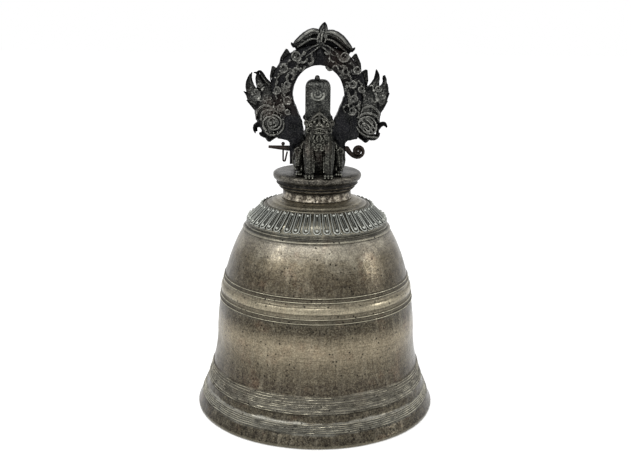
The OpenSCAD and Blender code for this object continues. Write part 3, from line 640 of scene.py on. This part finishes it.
# The rings' crests are painted pale, as wear and highlight: fully below 150 mm, a little
# above it and on the shoulder rings, and not on the broad waist ring
crest_wear_and_sheen = [(z, half, 0 if half > 1.4 else 1 if z < 150 else 0.3) for z, half, _ in RIDGES]
crest_wear_and_sheen += [(z, 0.45, 0.3) for z, _ in SHOULDER_RINGS]
mark_ridges(wall, crest_wear_and_sheen, lambda z: wall_r(z) - 1)
# The hem's lines were drawn by hand and wander up and down
hem = wall.vertex_groups.new(name="hem")
hem.add([v.index for v in wall.data.vertices if 13 * mm < v.co.z < 50 * mm
         and math.hypot(v.co.x, v.co.y) > (wall_r(v.co.z / mm) - 2) * mm], 1, "REPLACE")
uneven(wall, 14, 1.5, direction="Z", vertex_group="hem", mid_level=0.5)
uneven(wall, 5, 0.6, direction="Z", vertex_group="hem", mid_level=0.5)
uneven(wall, 5, 0.4, vertex_group="hem")
uneven(wall, 60, 0.5)
uneven(wall, 7, 0.35)
stand_in(wall, "bell", "bell_wall", bell_skin)

# %% [markdown]
# ## The petal collar
# Forty-four lotus petals stand on the shoulder. Each is a raised outline round a narrow tongue,
# with a large bead at its foot and a small one near its head, and a bead between neighbours.
# One petal is laid in wax rolls and pellets, then copied round the ring with slight
# differences, as a hand would lay them.

# %% Lay the petals
def strands(lines, depth=1.0, sides=2, smooth=4):
    """Tapered rolls of wax. Each line is a list of (x, y, z, radius) in mm.
    depth flattens (below 1) or deepens every roll from front to back, and sides and smooth
    say how finely it is rounded and bent."""
    curve = bpy.data.curves.new("rolls", "CURVE")
    curve.dimensions = "3D"
    curve.bevel_depth, curve.bevel_resolution = mm, sides
    curve.resolution_u, curve.use_fill_caps = smooth, True
    for line in lines:
        strand = curve.splines.new("BEZIER")
        strand.bezier_points.add(len(line) - 1)
        for knot, (x, y, z, r) in zip(strand.bezier_points, line):
            knot.co = (x * mm, y * mm / depth, z * mm)
            knot.radius = max(r, 0.05)
            knot.handle_left_type = knot.handle_right_type = "AUTO"
    piece = new_piece("rolls", curve)
    pick_up(piece)
    bpy.ops.object.convert(target="MESH")
    for vertex in piece.data.vertices:
        vertex.co.y *= depth
    return piece


def ball(place, r, flat=1.0, rings=8):
    """A pellet of wax at a place in mm."""
    bpy.ops.mesh.primitive_uv_sphere_add(segments=2 * rings, ring_count=rings, radius=r * mm,
                                         location=[v * mm for v in place], scale=(1, flat, 1))
    bpy.ops.object.transform_apply(location=True, rotation=False, scale=True)
    return bpy.context.object


def one_petal():
    half, foot, head = PETAL_W / 2 - 0.5, -COLLAR_L / 2 + PETAL_W / 2 + 0.4, COLLAR_L / 2 - 0.9
    base, rim = 0.6, 0.7  # the outline's height over the collar and its roll's radius
    outline = [(-half * 0.8, head, base, rim), (-half, (head + foot) / 2, base, rim)]
    outline += [(-half * cosd(a), foot - half * sind(a), base + 0.2, rim + 0.15)
                for a in range(0, 181, 30)]
    outline += [(half, (head + foot) / 2, base, rim), (half * 0.8, head, base, rim)]
    tongue = [(-1.1, head - 2.6, 0.6, 0.5), (-0.8, foot + 3, 0.5, 0.45), (0, foot + 1.4, 0.5, 0.4),
              (0.8, foot + 3, 0.5, 0.45), (1.1, head - 2.6, 0.6, 0.5)]
    rolls = strands([outline, tongue], sides=1, smooth=3)
    beads = [ball((0, foot + 0.4, 1.4), 1.7, rings=6), ball((0, head - 2.4, 1.2), 1.4, rings=5),
             ball((half + 1.2, foot - 2.6, 0.5), 1, rings=4)]
    return join("petal", [rolls, *beads])


petal = one_petal()
random.seed(11)
laid = []
for i in range(PETALS):
    copy = new_piece("petal_%d" % i, petal.data.copy())
    for move in (
            Matrix.Rotation(random.uniform(-0.04, 0.04), 4, "Z"),
            Matrix.Scale(random.uniform(0.96, 1.02), 4),
            Matrix.Rotation(COLLAR_SLOPE, 4, "X"),
            Matrix.Translation((0, -COLLAR_MID[0] * mm, COLLAR_MID[1] * mm)),
            Matrix.Rotation(2 * math.pi * (i + random.uniform(-0.06, 0.06)) / PETALS, 4, "Z")):
        copy.data.transform(move)
    laid.append(copy)
bpy.data.objects.remove(petal)
collar = join("petal_collar", laid)
open_mesh(collar)
close_smooth()
stand_in(collar, "bell", "petals", petal_skin)

# %% [markdown]
# ## The crown disc
# The neck carries a stepped disc, turned in the same way. Its edge is rounded by wear and its
# underside is ringed, and the lions and lug stand on its flat top.

# %% Turn the crown disc
# The rings under the disc: height over the neck, half the width, how far each stands out
UNDER_RINGS = ((3.2, 1.3, 1.2), (6.8, 1.2, 1.1))


def disc_line():
    under = NECK_Z + NECK_H

    def r_at(z):
        return NECK_R + (DISC_R - 0.8 - NECK_R) * (z - under) / (DISC_H * 0.62)

    line = [(r, NECK_Z + 0.2) for r in (0, 20, NECK_R + 1.4)]
    line += [(NECK_R + off, NECK_Z + up)
             for off, up in ((0.6, 1.4), (0.2, 3), (0, 5), (0, NECK_H))]
    for rise, half, out in UNDER_RINGS:
        line += ring_line(r_at, under + rise, half, out, range(-90, 91, 30))
    edge = CROWN_Z - DISC_H * 0.38
    line += [(DISC_R - off, edge + up)
             for off, up in ((3.2, -1.6), (2, -0.9), (1, 0), (0.3, 1.6), (0.05, 3))]
    line += [(DISC_R - off, CROWN_Z - down)
             for off, down in ((0.3, 2.6), (1, 1.5), (2.2, 0.7), (4.3, 0))]
    line += [(r, CROWN_Z) for r in (38, 34, 30, 25, 20, 14, 8, 0)]
    return line


disc = turn("crown_disc_cast", disc_line(), 200)
mark_ridges(disc, [(NECK_Z + NECK_H + rise, half * 0.8, 1) for rise, half, _ in UNDER_RINGS],
            lambda z: NECK_R)
uneven(disc, 22, 0.6)
uneven(disc, 5, 0.45)
stand_in(disc, "bell", "crown_disc", crown_skin)

# %% [markdown]
# ## Modelling in wax
# The figures were modelled in wax by hand: a core, then rolls and pellets pressed on and
# blended with a warm tool. The same is done here. A core is a merged copy of the CAD node,
# rolls are tapered curves, and a voxel remesh melts them into one skin, which is smoothed.

# %% Helpers for wax work
def wax_core(node):
    piece = new_piece("core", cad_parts[node].data.copy())
    open_mesh(piece)
    bpy.ops.mesh.remove_doubles(threshold=0.001 * mm)
    close_mesh()
    return piece


MOST_TRIANGLES = 150000


def melt(name, parts, voxel, rough, passes=2):
    """Joins the parts into one skin, with voxel and roughness in mm and smoothing passes."""
    piece = join(name, parts)
    use(piece, "REMESH", mode="VOXEL", voxel_size=voxel * mm, adaptivity=0.0)
    use(piece, "SMOOTH", factor=0.5, iterations=passes)
    pattern = bpy.data.textures.new(name + "_grain", "CLOUDS")
    pattern.noise_scale, pattern.noise_depth = 1.6 * mm, 1
    use(piece, "DISPLACE", texture=pattern, strength=rough * mm, mid_level=0.55,
        texture_coords="LOCAL")
    triangles = sum(len(f.vertices) - 2 for f in piece.data.polygons)
    if triangles > MOST_TRIANGLES:
        use(piece, "DECIMATE", ratio=MOST_TRIANGLES / triangles)
    pick_up(piece)
    bpy.ops.object.shade_smooth()
    return piece


def lifted(lines, up):
    return [[(x, y, z + up, r) for x, y, z, r in line] for line in lines]


def curl(x, z, size, thick, y, turns, start, hand, tail=0.25):
    """A flat spiral round (x, z) on a face at depth y, from its rim, at the angle start, to
    its eye, which is tail times as wide. hand is 1 or -1, the way it turns."""
    count = max(6, round(turns * 8))
    line = []
    for i in range(count + 1):
        t = i / count
        a = math.radians(start) + hand * 2 * math.pi * turns * t
        r = size * (1 - (1 - tail) * t)
        line.append((x + r * math.cos(a), y, z + r * math.sin(a), thick * (1 - 0.4 * t)))
    return line


def both_faces(lines):
    """The same rolls on the front and on the back."""
    return lines + [[(x, -y, z, r) for x, y, z, r in line] for line in lines]


# %% [markdown]
# ## The lug
# A flat tongue with a rounded top stands on the disc and takes the pin. Two crescents with
# beads are pressed on its face, and a knob is left where the sprue broke off.

# %% Model the lug
MARKS_Z = CROWN_Z + LUG_H - 14
crescents = both_faces([
    [(r * cosd(a), -LUG_T / 2, MARKS_Z + r * sind(a), thick) for a in range(190, 351, 20)]
    for r, thick in ((3.2, 0.9), (6.4, 1.2))])
lug = melt("lug_cast", [
    wax_core("suspension_lug"), strands(crescents, 0.9, smooth=5),
    *[ball((side * x, face * LUG_T / 2, MARKS_Z + up), r)
      for x, up, r in ((6, 0, 1.1), (2.6, 1.6, 0.8)) for side in (-1, 1) for face in (-1, 1)],
], voxel=0.5, rough=0.2, passes=3)
stand_in(lug, "bell", "suspension_lug", lug_skin)

# %% [markdown]
# ## The lions
# A guardian lion sits before and behind the lug on straight forelegs. A pointed brow rises over
# a dark band of eyes, the jaw is open, curls run down a broad chest, and the claws reach over
# the disc's edge. The rolls are laid on the CAD core, in the lion's own frame.

# %% Model the lions
def lion_rolls():
    half = [
        # Brow, eyebrow, cheek and lips
        [(0, -18.8, 65.4, 1.5), (-4.8, -20.8, 61.6, 1.4), (-8.8, -19.4, 57.6, 1.4),
         (-11.6, -16, 53, 1.2), (-12.4, -14.6, 48, 1)],
        [(0, -21.8, 61.8, 1.2), (-3.4, -23.4, 59.6, 1.2), (-7, -22.6, 58.2, 1.1),
         (-9.4, -19.8, 55.6, 0.8)],
        [(0, -31.4, 51, 1), (-2.8, -30.6, 50, 1.1), (-5.2, -26.8, 49.2, 1.3),
         (-7.6, -22, 48.6, 1.2), (-10, -17.6, 49, 0.8)],
        [(0, -29, 46, 0.8), (-3, -28, 45.6, 0.9), (-5.6, -23, 44.6, 1), (-8.4, -18, 45, 1)],
        curl(-10.4, 46.6, 3.2, 1, -18.4, 1.4, 60, 1),
        curl(-8.6, 52.6, 2.2, 0.8, -21.6, 1.2, 0, 1),
        curl(-13.2, 54.6, 2.8, 1.1, -14.6, 1.3, 300, -1),
        # Beard under the jaw
        [(-1.2, -27, 42.8, 1.1), (-2.4, -28, 39.6, 1.3), (-1.2, -27.6, 36.2, 0.7)],
        [(-4.6, -25, 43, 1), (-6, -26, 39.4, 1.2), (-5.2, -26.4, 35.6, 0.6)],
        # Foreleg's edges, elbow flame and the curls of the thigh
        [(-15.4, -20, 34, 0.8), (-15.8, -24.6, 25, 0.9), (-14.8, -29.6, 14, 0.8),
         (-14, -33, 5, 0.6)],
        [(-5.6, -26.6, 26, 0.7), (-5.2, -31, 14, 0.7), (-5.2, -34.6, 5, 0.6)],
        [(-10.6, -26.4, 30, 0.5), (-10.2, -31.6, 18, 0.8), (-9.9, -35.6, 8, 0.5)],
        [(-14.2, -20, 36, 1.1), (-17.2, -19.4, 33, 1.1), (-18.6, -20, 28, 0.6)],
        curl(-21.4, 25, 4.2, 1.1, -20.2, 1.5, 90, 1),
        [(-25.6, -18, 24, 0.8), (-27.4, -17, 17, 0.9), (-26.6, -18, 10, 0.8), (-24, -20, 5, 0.6)],
        [(-18.4, -20.6, 16, 0.7), (-18, -22.6, 10, 0.9), (-18.6, -24, 5, 0.6)],
    ]
    # Rows of curls on the chest
    for z, y, places in ((40.6, -26.4, (9.4,)), (36.6, -27.4, (3, 7.6, 12)),
                         (32, -28, (0.9, 5.4, 10.2)), (28.6, -27.6, (3, 7.8))):
        for x in places:
            half.append(curl(-x, z, 2.1, 0.8, y + 0.055 * x * x, 1.2, 40 * x,
                             1 if x < 6 else -1))
    return half + [[(-x, y, z, r) for x, y, z, r in line] for line in half]


def lion(node, shift, turned):
    """Lays rolls and pellets on a lion's core, shifted sideways and turned about the lug."""
    seat = Matrix.Translation((shift * mm, -LUG_T / 2 * mm, CROWN_Z * mm))
    place = Matrix.Rotation(turned, 4, "Z") @ seat @ Matrix.Scale(LION_SCALE, 4)
    rolls = strands(lion_rolls() + [
        [(0, -20.6, 63.6, 1.3), (0, -25.4, 58.4, 1.6), (0, -30.2, 55, 1.9)],
        [(0, -12, 66, 1.2), (0.6, -13, 69.4, 0.8), (-0.4, -12.6, 71.6, 0.3)]])
    pellets = []
    for side in (-1, 1):
        pellets += [ball((side * 4.8, -25, 56.8), 1.7), ball((side * 2.1, -31, 54.2), 1.2),
                    ball((side * 3, -28.6, 47.8), 0.8), ball((side * 1.2, -30.6, 48.4), 0.6)]
        for toe in (6.6, 9.9, 13.2):
            pellets += [ball((side * toe, -38.6, 1.9), 1.9, 1.3),
                        ball((side * toe, -41.2, 0.5), 0.9, 1.4, 6)]
        for toe in (18.4, 20.8, 23.2):
            pellets.append(ball((side * toe, -27.6, 1.9), 1.5, 1.3))
    for part in [rolls, *pellets]:
        part.data.transform(place)
    piece = melt(node + "_cast", [wax_core(node), rolls, *pellets], voxel=0.4, rough=0.4)
    stand_in(piece, "bell", node, lion_skin)


lion("front_lion", LION_SHIFT, 0)
lion("rear_lion", 0, math.pi)

# %% [markdown]
# ## The hanger's arch
# The arch is a thick band over two smooth webs that run down into the legs. Its faces carry
# curls and leaf sprays, laid on as rolls, so the band stays plain under them. A dark rounded
# keystone sits at its top.

# %% Model the arch and its curls
def hang(piece, node, finish):
    stand_in(piece, "hanger", node, finish)


web_lines = both_faces([
    [(29.6, -8, -45, 0.5), (33.4, -8.2, -30, 0.8), (30.4, -8.2, -22, 0.6)],
    [(-31, -8, -34, 0.4), (-34, -8.2, -26, 0.6), (-30, -8.2, -20, 0.5)],
])
keystone = both_faces([
    [(2, -5.6, 45, 3.6), (2, -5.8, 40, 6), (2, -5.4, 33.6, 5.4), (2, -5, 29, 3)]])
arch = melt("hanger_arch_cast", [
    wax_core("hanger_arch"),
    strands(lifted(web_lines, ARCH_Z), 0.8, smooth=5),
    strands(lifted(keystone, ARCH_Z), smooth=5)], voxel=0.6, rough=0.4, passes=3)
uneven(arch, 7, 1.2)
hang(arch, "hanger_arch", arch_skin)

# Places of the curls round the arch, from its centre: x, z, size and the way each one turns
CURLS = [
    (-33.8, 25.2, 4.4, 1), (-21.4, 37.6, 5.4, -1), (-30.6, 9.5, 3.8, 1), (-29.9, -5.4, 4.4, -1),
    (-36.6, -12.6, 4, 1), (-29.6, -17.2, 3, -1), (-40.3, 4.2, 4.2, 1),
    (25.4, 37, 5.4, 1), (38.2, 24.5, 4, -1), (34.4, 10.7, 4.2, 1), (43, 6, 3.6, -1),
    (35.6, -3.1, 4, 1), (34, -15.6, 4.2, 1),
]
relief = []
for x, z, size, hand in CURLS:
    start = 200 if hand > 0 else -20
    relief.append(curl(x, z, size, 1.5, -HALF_T - 1.3, 1.7, start, hand))
    relief.append([(x - 0.6, -HALF_T, z, 1.2), (x + 0.6, -HALF_T - 0.8, z, 1.2)])
# Foliage fills the band between them in three rows a side, round from the keystone. Every
# leaf is a hooked stroke, thick at its root.
random.seed(5)
for side in (-1, 1):
    for radius in (30, 36.5, 43):
        turn_at = 18
        while turn_at < 112:
            a = math.radians(turn_at + random.uniform(-2, 2))
            r = radius + random.uniform(-1.5, 1.5)
            x, z = r * math.sin(a), r * math.cos(a)
            lean, reach = a + random.uniform(0.9, 2.4), random.uniform(6.5, 9.5)
            dx, dz = math.sin(lean) * reach, math.cos(lean) * reach
            if not OPENING_R + 4 < math.hypot(x + dx, z + dz) < ARCH_R - 2:
                dx, dz = -dx, -dz
            bow, root = random.uniform(-0.3, 0.3), random.uniform(1.9, 2.8)
            relief.append([
                (side * (x + dx * along - dz * bend), -HALF_T - off,
                 z + dz * along + dx * bend, root * thick)
                for along, bend, off, thick in ((0, 0, -0.4, 1), (0.5, bow, 0.4, 0.8),
                                                (0.8, 0, 0.6, 0.6), (0.9, -bow, 0, 0.4))])
            turn_at += random.uniform(7, 10)
# Two sprays like a roof over the keystone, and a thin one down each side of it. Each is its
# middle's x, and points as x from there, distance off the face, z and radius.
SPRAYS = (
    (2.2, ((0, 0, 47, 1), (5, 0.8, 43.6, 1.5), (10, 0.4, 39.6, 1.4), (15, 0, 36.6, 0.8))),
    (2.2, ((0, 0, 49.4, 0.9), (7, 0.4, 46.6, 1.4), (14, 0.2, 42, 1.3), (20, 0, 37.4, 0.8))),
    (2, ((7.6, 0.6, 40, 0.9), (9, 0.8, 34.6, 1.2), (7.6, 0.4, 29.4, 0.8))),
)
relief += [[(middle + side * x, -HALF_T - off, z, r) for x, off, z, r in points]
           for side in (-1, 1) for middle, points in SPRAYS]
relief = lifted(both_faces(relief), ARCH_Z)
curls = melt("arch_curls_cast", [strands(relief, 1.1)], voxel=0.42, rough=0.5, passes=1)
uneven(curls, 4, 0.8)
hang(curls, "arch_scrolls", foliage_skin)

# %% [markdown]
# ## The dragon heads
# A dragon head ends each side of the arch and faces outwards and down. The left one has a
# spiral eye and a hooked snout, and the right one a ribbed eye like a shell and a raised snout.

# %% Model the dragon heads
# Rolls on the front face, with y measured from it inwards, and rolls in the middle plane
FACE_Y, EYE = -10.2, (-43.6, -28.3)
left_rolls = [
    curl(*EYE, 8.2, 1.1, 0, 2.2, 100, -1, 0.18),
    [(-56.2, 2, -26, 1.2), (-55, 1, -18.6, 1.7), (-48.5, 1, -15.6, 1.9),
     (-41.5, 1, -16.6, 1.6), (-35.2, 2, -21, 1)],
    [(-34.6, 1, -25, 0.9), (-33.6, 0.6, -31, 1.2), (-36.6, 0.6, -37, 1.3),
     (-43, 0.6, -40.4, 1.3), (-50, 1, -38.8, 1.2), (-54, 2, -34, 0.9)],
    [(-53, 2.4, -25, 0.7), (-56.6, 3, -21, 0.9), (-57.6, 4, -14, 0.7)],
]
left_mid = [
    [(-50, 0, -31, 3.8), (-54.4, 0, -30.6, 3.2), (-58, 0, -30, 2.7), (-60.8, 0, -31.6, 2.2),
     (-62, 0, -35, 1.7), (-60.8, 0, -38.2, 0.9)],
    [(-52, 0, -36, 2), (-47.6, 0, -41, 3.4), (-43.6, 0, -42.4, 3.2), (-40, 0, -39.6, 2.4)],
    *both_faces([[(-54.6, -3.4, -36, 1), (-55.6, -3.4, -38.6, 0.9), (-55.2, -3.4, -41, 0.3)]]),
]
right_rolls = [
    [(41.8, 0, -26, 0.9), (45.9, 0, -22.4, 1), (51.8, 0, -21.6, 1), (56.4, 0, -25.6, 1),
     (58.2, 0, -31, 1), (56.4, 0, -36.6, 1), (51.8, 0, -38, 1), (45.9, 0, -35.2, 1),
     (41.8, 0, -30.4, 0.9)],
    [(44, -0.2, -25.4, 0.7), (50, -0.8, -29.6, 0.9), (54.6, -0.2, -36.4, 0.7)],
    [(47.4, -0.2, -23.4, 0.7), (53, -0.8, -28, 0.9), (57, -0.2, -33.6, 0.7)],
    [(43, -0.2, -29.4, 0.7), (47.6, -0.6, -33, 0.8), (50.6, -0.2, -37, 0.6)],
    [(38.6, 1, -31.4, 1), (42, 0.4, -36.4, 1.2), (48, 0.4, -40.2, 1.3),
     (55, 0.8, -41.4, 1.2), (60, 2, -42, 1)],
    [(40, 1, -23, 1), (43.5, 0.6, -19.4, 1.6), (50.6, 0.6, -17.8, 1.9),
     (57.6, 1, -20.6, 1.6), (61.4, 3, -27, 1)],
]
right_mid = [
    [(57, 0, -36, 3.8), (60.4, 0, -33, 3), (63.6, 0, -29.8, 2.4), (67, 0, -29.2, 1.9),
     (69.4, 0, -32.8, 1)],
    [(50, 0, -41, 2.6), (55.6, 0, -43.6, 3), (59.6, 0, -42.2, 2.4), (61.4, 0, -38, 2)],
    *both_faces([[(59, -3.2, -40, 1), (60.6, -3.2, -37.8, 0.9), (61.4, -3.2, -35.4, 0.3)]]),
]
# Scales on the forehead and neck
for x, z in ((46, -10), (50, -12.6), (54, -10.6), (52, -5), (48, -3.4), (56, -4.6)):
    arc = [(x + 2.3 * cosd(a), 1.6, z + 2.3 * sind(a), 0.6) for a in range(180, 361, 45)]
    right_rolls.append(arc)
    left_rolls.append([(-x, y, z, r) for x, y, z, r in arc])
# Beads round the left dragon's spiral eye, and one in its middle, on both faces
x, z, eye_beads = EYE[0], ARCH_Z + EYE[1], []
for face in (-1, 1):
    for a in [2 * math.pi * i / 16 for i in range(16)]:
        place = (x + 9.9 * math.cos(a), face * 9.6, z + 9.9 * math.sin(a))
        eye_beads.append(ball(place, 0.75, rings=4))
    eye_beads.append(ball((x, face * 10.4, z), 1.6, 0.8))

for node, on_face, in_middle, beads in (("left_dragon", left_rolls, left_mid, eye_beads),
                                        ("right_dragon", right_rolls, right_mid, [])):
    on_face = [[(x, FACE_Y + y, z, r) for x, y, z, r in line] for line in on_face]
    dragon = melt(node + "_cast", [
        wax_core(node), *beads,
        strands(lifted(both_faces(on_face), ARCH_Z), 0.9),
        strands(lifted(in_middle, ARCH_Z), 1.2)], voxel=0.42, rough=0.35)
    hang(dragon, node, dragon_skin)

# %% [markdown]
# ## The flame manes
# Flames, hooks and curls stream back and up from each head. They are the thinnest parts of the
# casting, so each is a tapered roll, deeper than it is wide near its root.

# %% Model the flame manes
# The flames' reach is drawn in by this share, to end where the CAD's flames do
DRAWN_IN = 0.975
left_flames = [
    [(-60, 0, -1, 3.4), (-65.6, 0, 3.4, 3.2), (-68.6, 0, 9.4, 3), (-69, 0, 14.6, 2.1),
     (-67.2, 0, 20.6, 0.5)],
    [(-47, 0, 5, 3.8), (-51, 0, 9.6, 3), (-54.6, 0, 14, 2.5), (-56.6, 0, 18.6, 1.8),
     (-59.2, 0, 21.4, 1.3), (-62.2, 0, 21, 0.5)],
    [(-66, 0, -3, 2.6), (-68.8, 0, -1, 1.9), (-70.4, 0, 1.4, 1.4), (-71.6, 0, 4, 0.7)],
    [(-67, 0, -2.6, 2), (-65.4, 0, -6, 1.8), (-61.4, 0, -10.4, 2), (-57.6, 0, -15.4, 2.6)],
    [(-58, 0, 4, 2.6), (-60.8, 0, 9.4, 2), (-61.6, 0, 13.6, 0.6)],
]
left_curls = [
    curl(-57.6, 7.6, 2.8, 0.9, -4.2, 1.4, 0, 1), curl(-61.4, 1.6, 2.6, 0.9, -4.4, 1.4, 120, -1),
    curl(-52.2, 3.4, 3.2, 1, -5.4, 1.5, 40, 1), curl(-55.4, -4.4, 2.8, 0.9, -5.6, 1.4, 200, -1),
    curl(-65.4, 4.4, 2, 0.7, -3.2, 1.2, 90, 1),
    [(-63.6, -2.6, 6.4, 0.6), (-66.6, -3, 11, 0.7), (-67.4, -2, 17, 0.4)],
    [(-50, -3.4, 10, 0.6), (-54.2, -2.8, 15, 0.7), (-57.4, -1.6, 19.4, 0.4)],
]
right_flames = [
    [(53, 0, 5, 3.6), (57, 0, 10.4, 3.2), (60, 0, 15.6, 2.4), (60.2, 0, 20.4, 1.5),
     (58.8, 0, 24.6, 0.5)],
    [(61, 0, 3, 3.6), (66, 0, 7.4, 3), (67.8, 0, 12.6, 2.2), (67, 0, 17.6, 1.6),
     (66.6, 0, 18.6, 1.4)],
    [(65, 0, -1, 2.8), (69.2, 0, 4.6, 2.2), (70.6, 0, 10, 0.7)],
    [(67.6, 0, -3, 2.4), (70.2, 0, -0.4, 1.6), (72, 0, 3, 0.5)],
    [(68.6, 0, -2.4, 2), (68.6, 0, -6.4, 1.8), (65.8, 0, -11.2, 2), (62.6, 0, -17, 2.6)],
]
right_curls = [
    curl(59.6, 6, 3.4, 1, -4.8, 1.5, 0, -1), curl(64.4, -1.6, 2.9, 0.9, -4.4, 1.4, 160, 1),
    curl(55, -0.6, 3, 0.9, -5.6, 1.4, 60, -1), curl(52.6, 7.6, 2.4, 0.8, -5, 1.3, 200, 1),
    [(57.6, -3, 9, 0.6), (60.4, -2.6, 14.6, 0.7), (60.2, -1.4, 20, 0.4)],
    [(65.4, -3, 8, 0.6), (67.2, -2.4, 13, 0.7), (67, -1.4, 17, 0.4)],
]
for node, flames, on_face in (("left_mane", left_flames, left_curls),
                              ("right_mane", right_flames, right_curls)):
    flames = [[(x * DRAWN_IN, y, z, r) for x, y, z, r in line] for line in flames]
    mane = melt(node + "_cast", [
        wax_core(node), strands(lifted(flames, ARCH_Z), 1.15, smooth=5),
        strands(lifted(both_faces(on_face), ARCH_Z), 0.9)], voxel=0.4, rough=0.3)
    hang(mane, node, flame_skin)

# %% [markdown]
# ## Fins and crest
# Blade fins run up the arch's back. On its top a bud stands between two leaves, each a rolled
# rim round a sunk web.

# %% Model the fins and the crest
# Each blade: degrees round the arch from its top, the degrees it runs over and its rise in mm
BLADES = (("left_fins", -1, ((44.5, 14.5, 4.6), (68.5, 14.5, 3.4))),
          ("right_fins", 1, ((52.5, 16, 5), (73, 16, 4.6))))
for node, side, blades in BLADES:
    veins = []
    for turn_at, run, rise in blades:
        for share in (-0.25, 0.15):
            a = math.radians(turn_at + share * run)
            ends = ((ARCH_R - 0.4, a, -3, 0.5), (ARCH_R + rise * 0.4, a - 0.06, -2.9, 0.4))
            veins.append([(side * r * math.sin(b), y, r * math.cos(b), thick)
                          for r, b, y, thick in ends])
    fins = melt(node + "_cast", [
        wax_core(node), strands(lifted(both_faces(veins), ARCH_Z), 0.9, smooth=3)
    ], voxel=0.35, rough=0.25, passes=3)
    hang(fins, node, crest_skin)

bud_rolls = [
    [(-1, -4.4, 1, 0.8), (-0.6, -4.4, 6, 1.1), (2.6, -4, 12, 1), (4.6, -3, 18, 0.6)],
    [(6.2, -4.4, 1, 0.8), (7.6, -4.2, 7, 1.1), (7.6, -3.8, 13, 1), (6.4, -2.6, 18, 0.6)],
    [(2.6, -5, 1, 0.8), (3.4, -5, 8, 1.2), (5, -4, 14, 0.7)],
]
left_leaf = [
    [(0, -4, 11.4, 1.2), (-6.4, -4.6, 12.4, 1.7), (-13, -4.6, 8.8, 1.7), (-20, -4, 2.4, 1.5),
     (-24.6, -2, -0.6, 0.9)],
    [(-1, -3.8, 4.2, 1.3), (-7, -3.8, 4.2, 1.5), (-14, -3.8, 0.6, 1.5), (-20.6, -3, -4, 1.1)],
    [(-0.6, -4, 4.4, 1.1), (0.8, -4, 7.6, 1.2), (-1, -4, 10.6, 1)],
]
right_leaf = [
    [(6, -4, 10.8, 1.2), (13.4, -4.6, 10.8, 1.7), (22, -4.6, 6, 1.7), (28.8, -4, -1.6, 1.5),
     (33.4, -2, -5.4, 0.9)],
    [(7, -3.8, 4.4, 1.3), (13, -3.8, 3, 1.5), (20.6, -3.8, -2, 1.5), (27.4, -3, -8, 1.1)],
    [(7, -4, 4.6, 1.1), (5.8, -4, 7.6, 1.2), (7.4, -4, 10.6, 1)],
]
for node, rolls, depth, smooth in (("crest_bud", bud_rolls, 0.9, 3),
                                   ("left_crest_leaf", left_leaf, 1, 4),
                                   ("right_crest_leaf", right_leaf, 1, 4)):
    piece = melt(node + "_cast", [
        wax_core(node),
        strands(lifted(both_faces(rolls), TOP_Z), depth, smooth=smooth)
    ], voxel=0.35, rough=0.25)
    hang(piece, node, crest_skin)

# %% [markdown]
# ## Pin and keeper
# The pin is forged iron: a bar rolled into a scroll at one end and drawn to a tail at the
# other, with a bent wire through it as a keeper. Hammering leaves it slightly lumpy.

# %% Forge the pin and the keeper
for node, name, body, slot, voxel, lumps in (
        ("hanger_pin", "hanger_pin_forged", "pin", "pin_iron", 0.3, 0.12),
        ("keeper_pin", "keeper_wire", "keeper", "keeper_iron", 0.16, 0.05)):
    parts = [wax_core(node)]
    if node == "hanger_pin":
        # The innermost turn of its scroll
        eye = curl(SCROLL_X, SCROLL_Z, 2.3, 1.4, 0, 0.9, 315, 1, 0.2)
        parts.append(strands([eye], 1.8))
    forged = melt(name, parts, voxel, lumps)
    stand_in(forged, body, node, iron_skin)
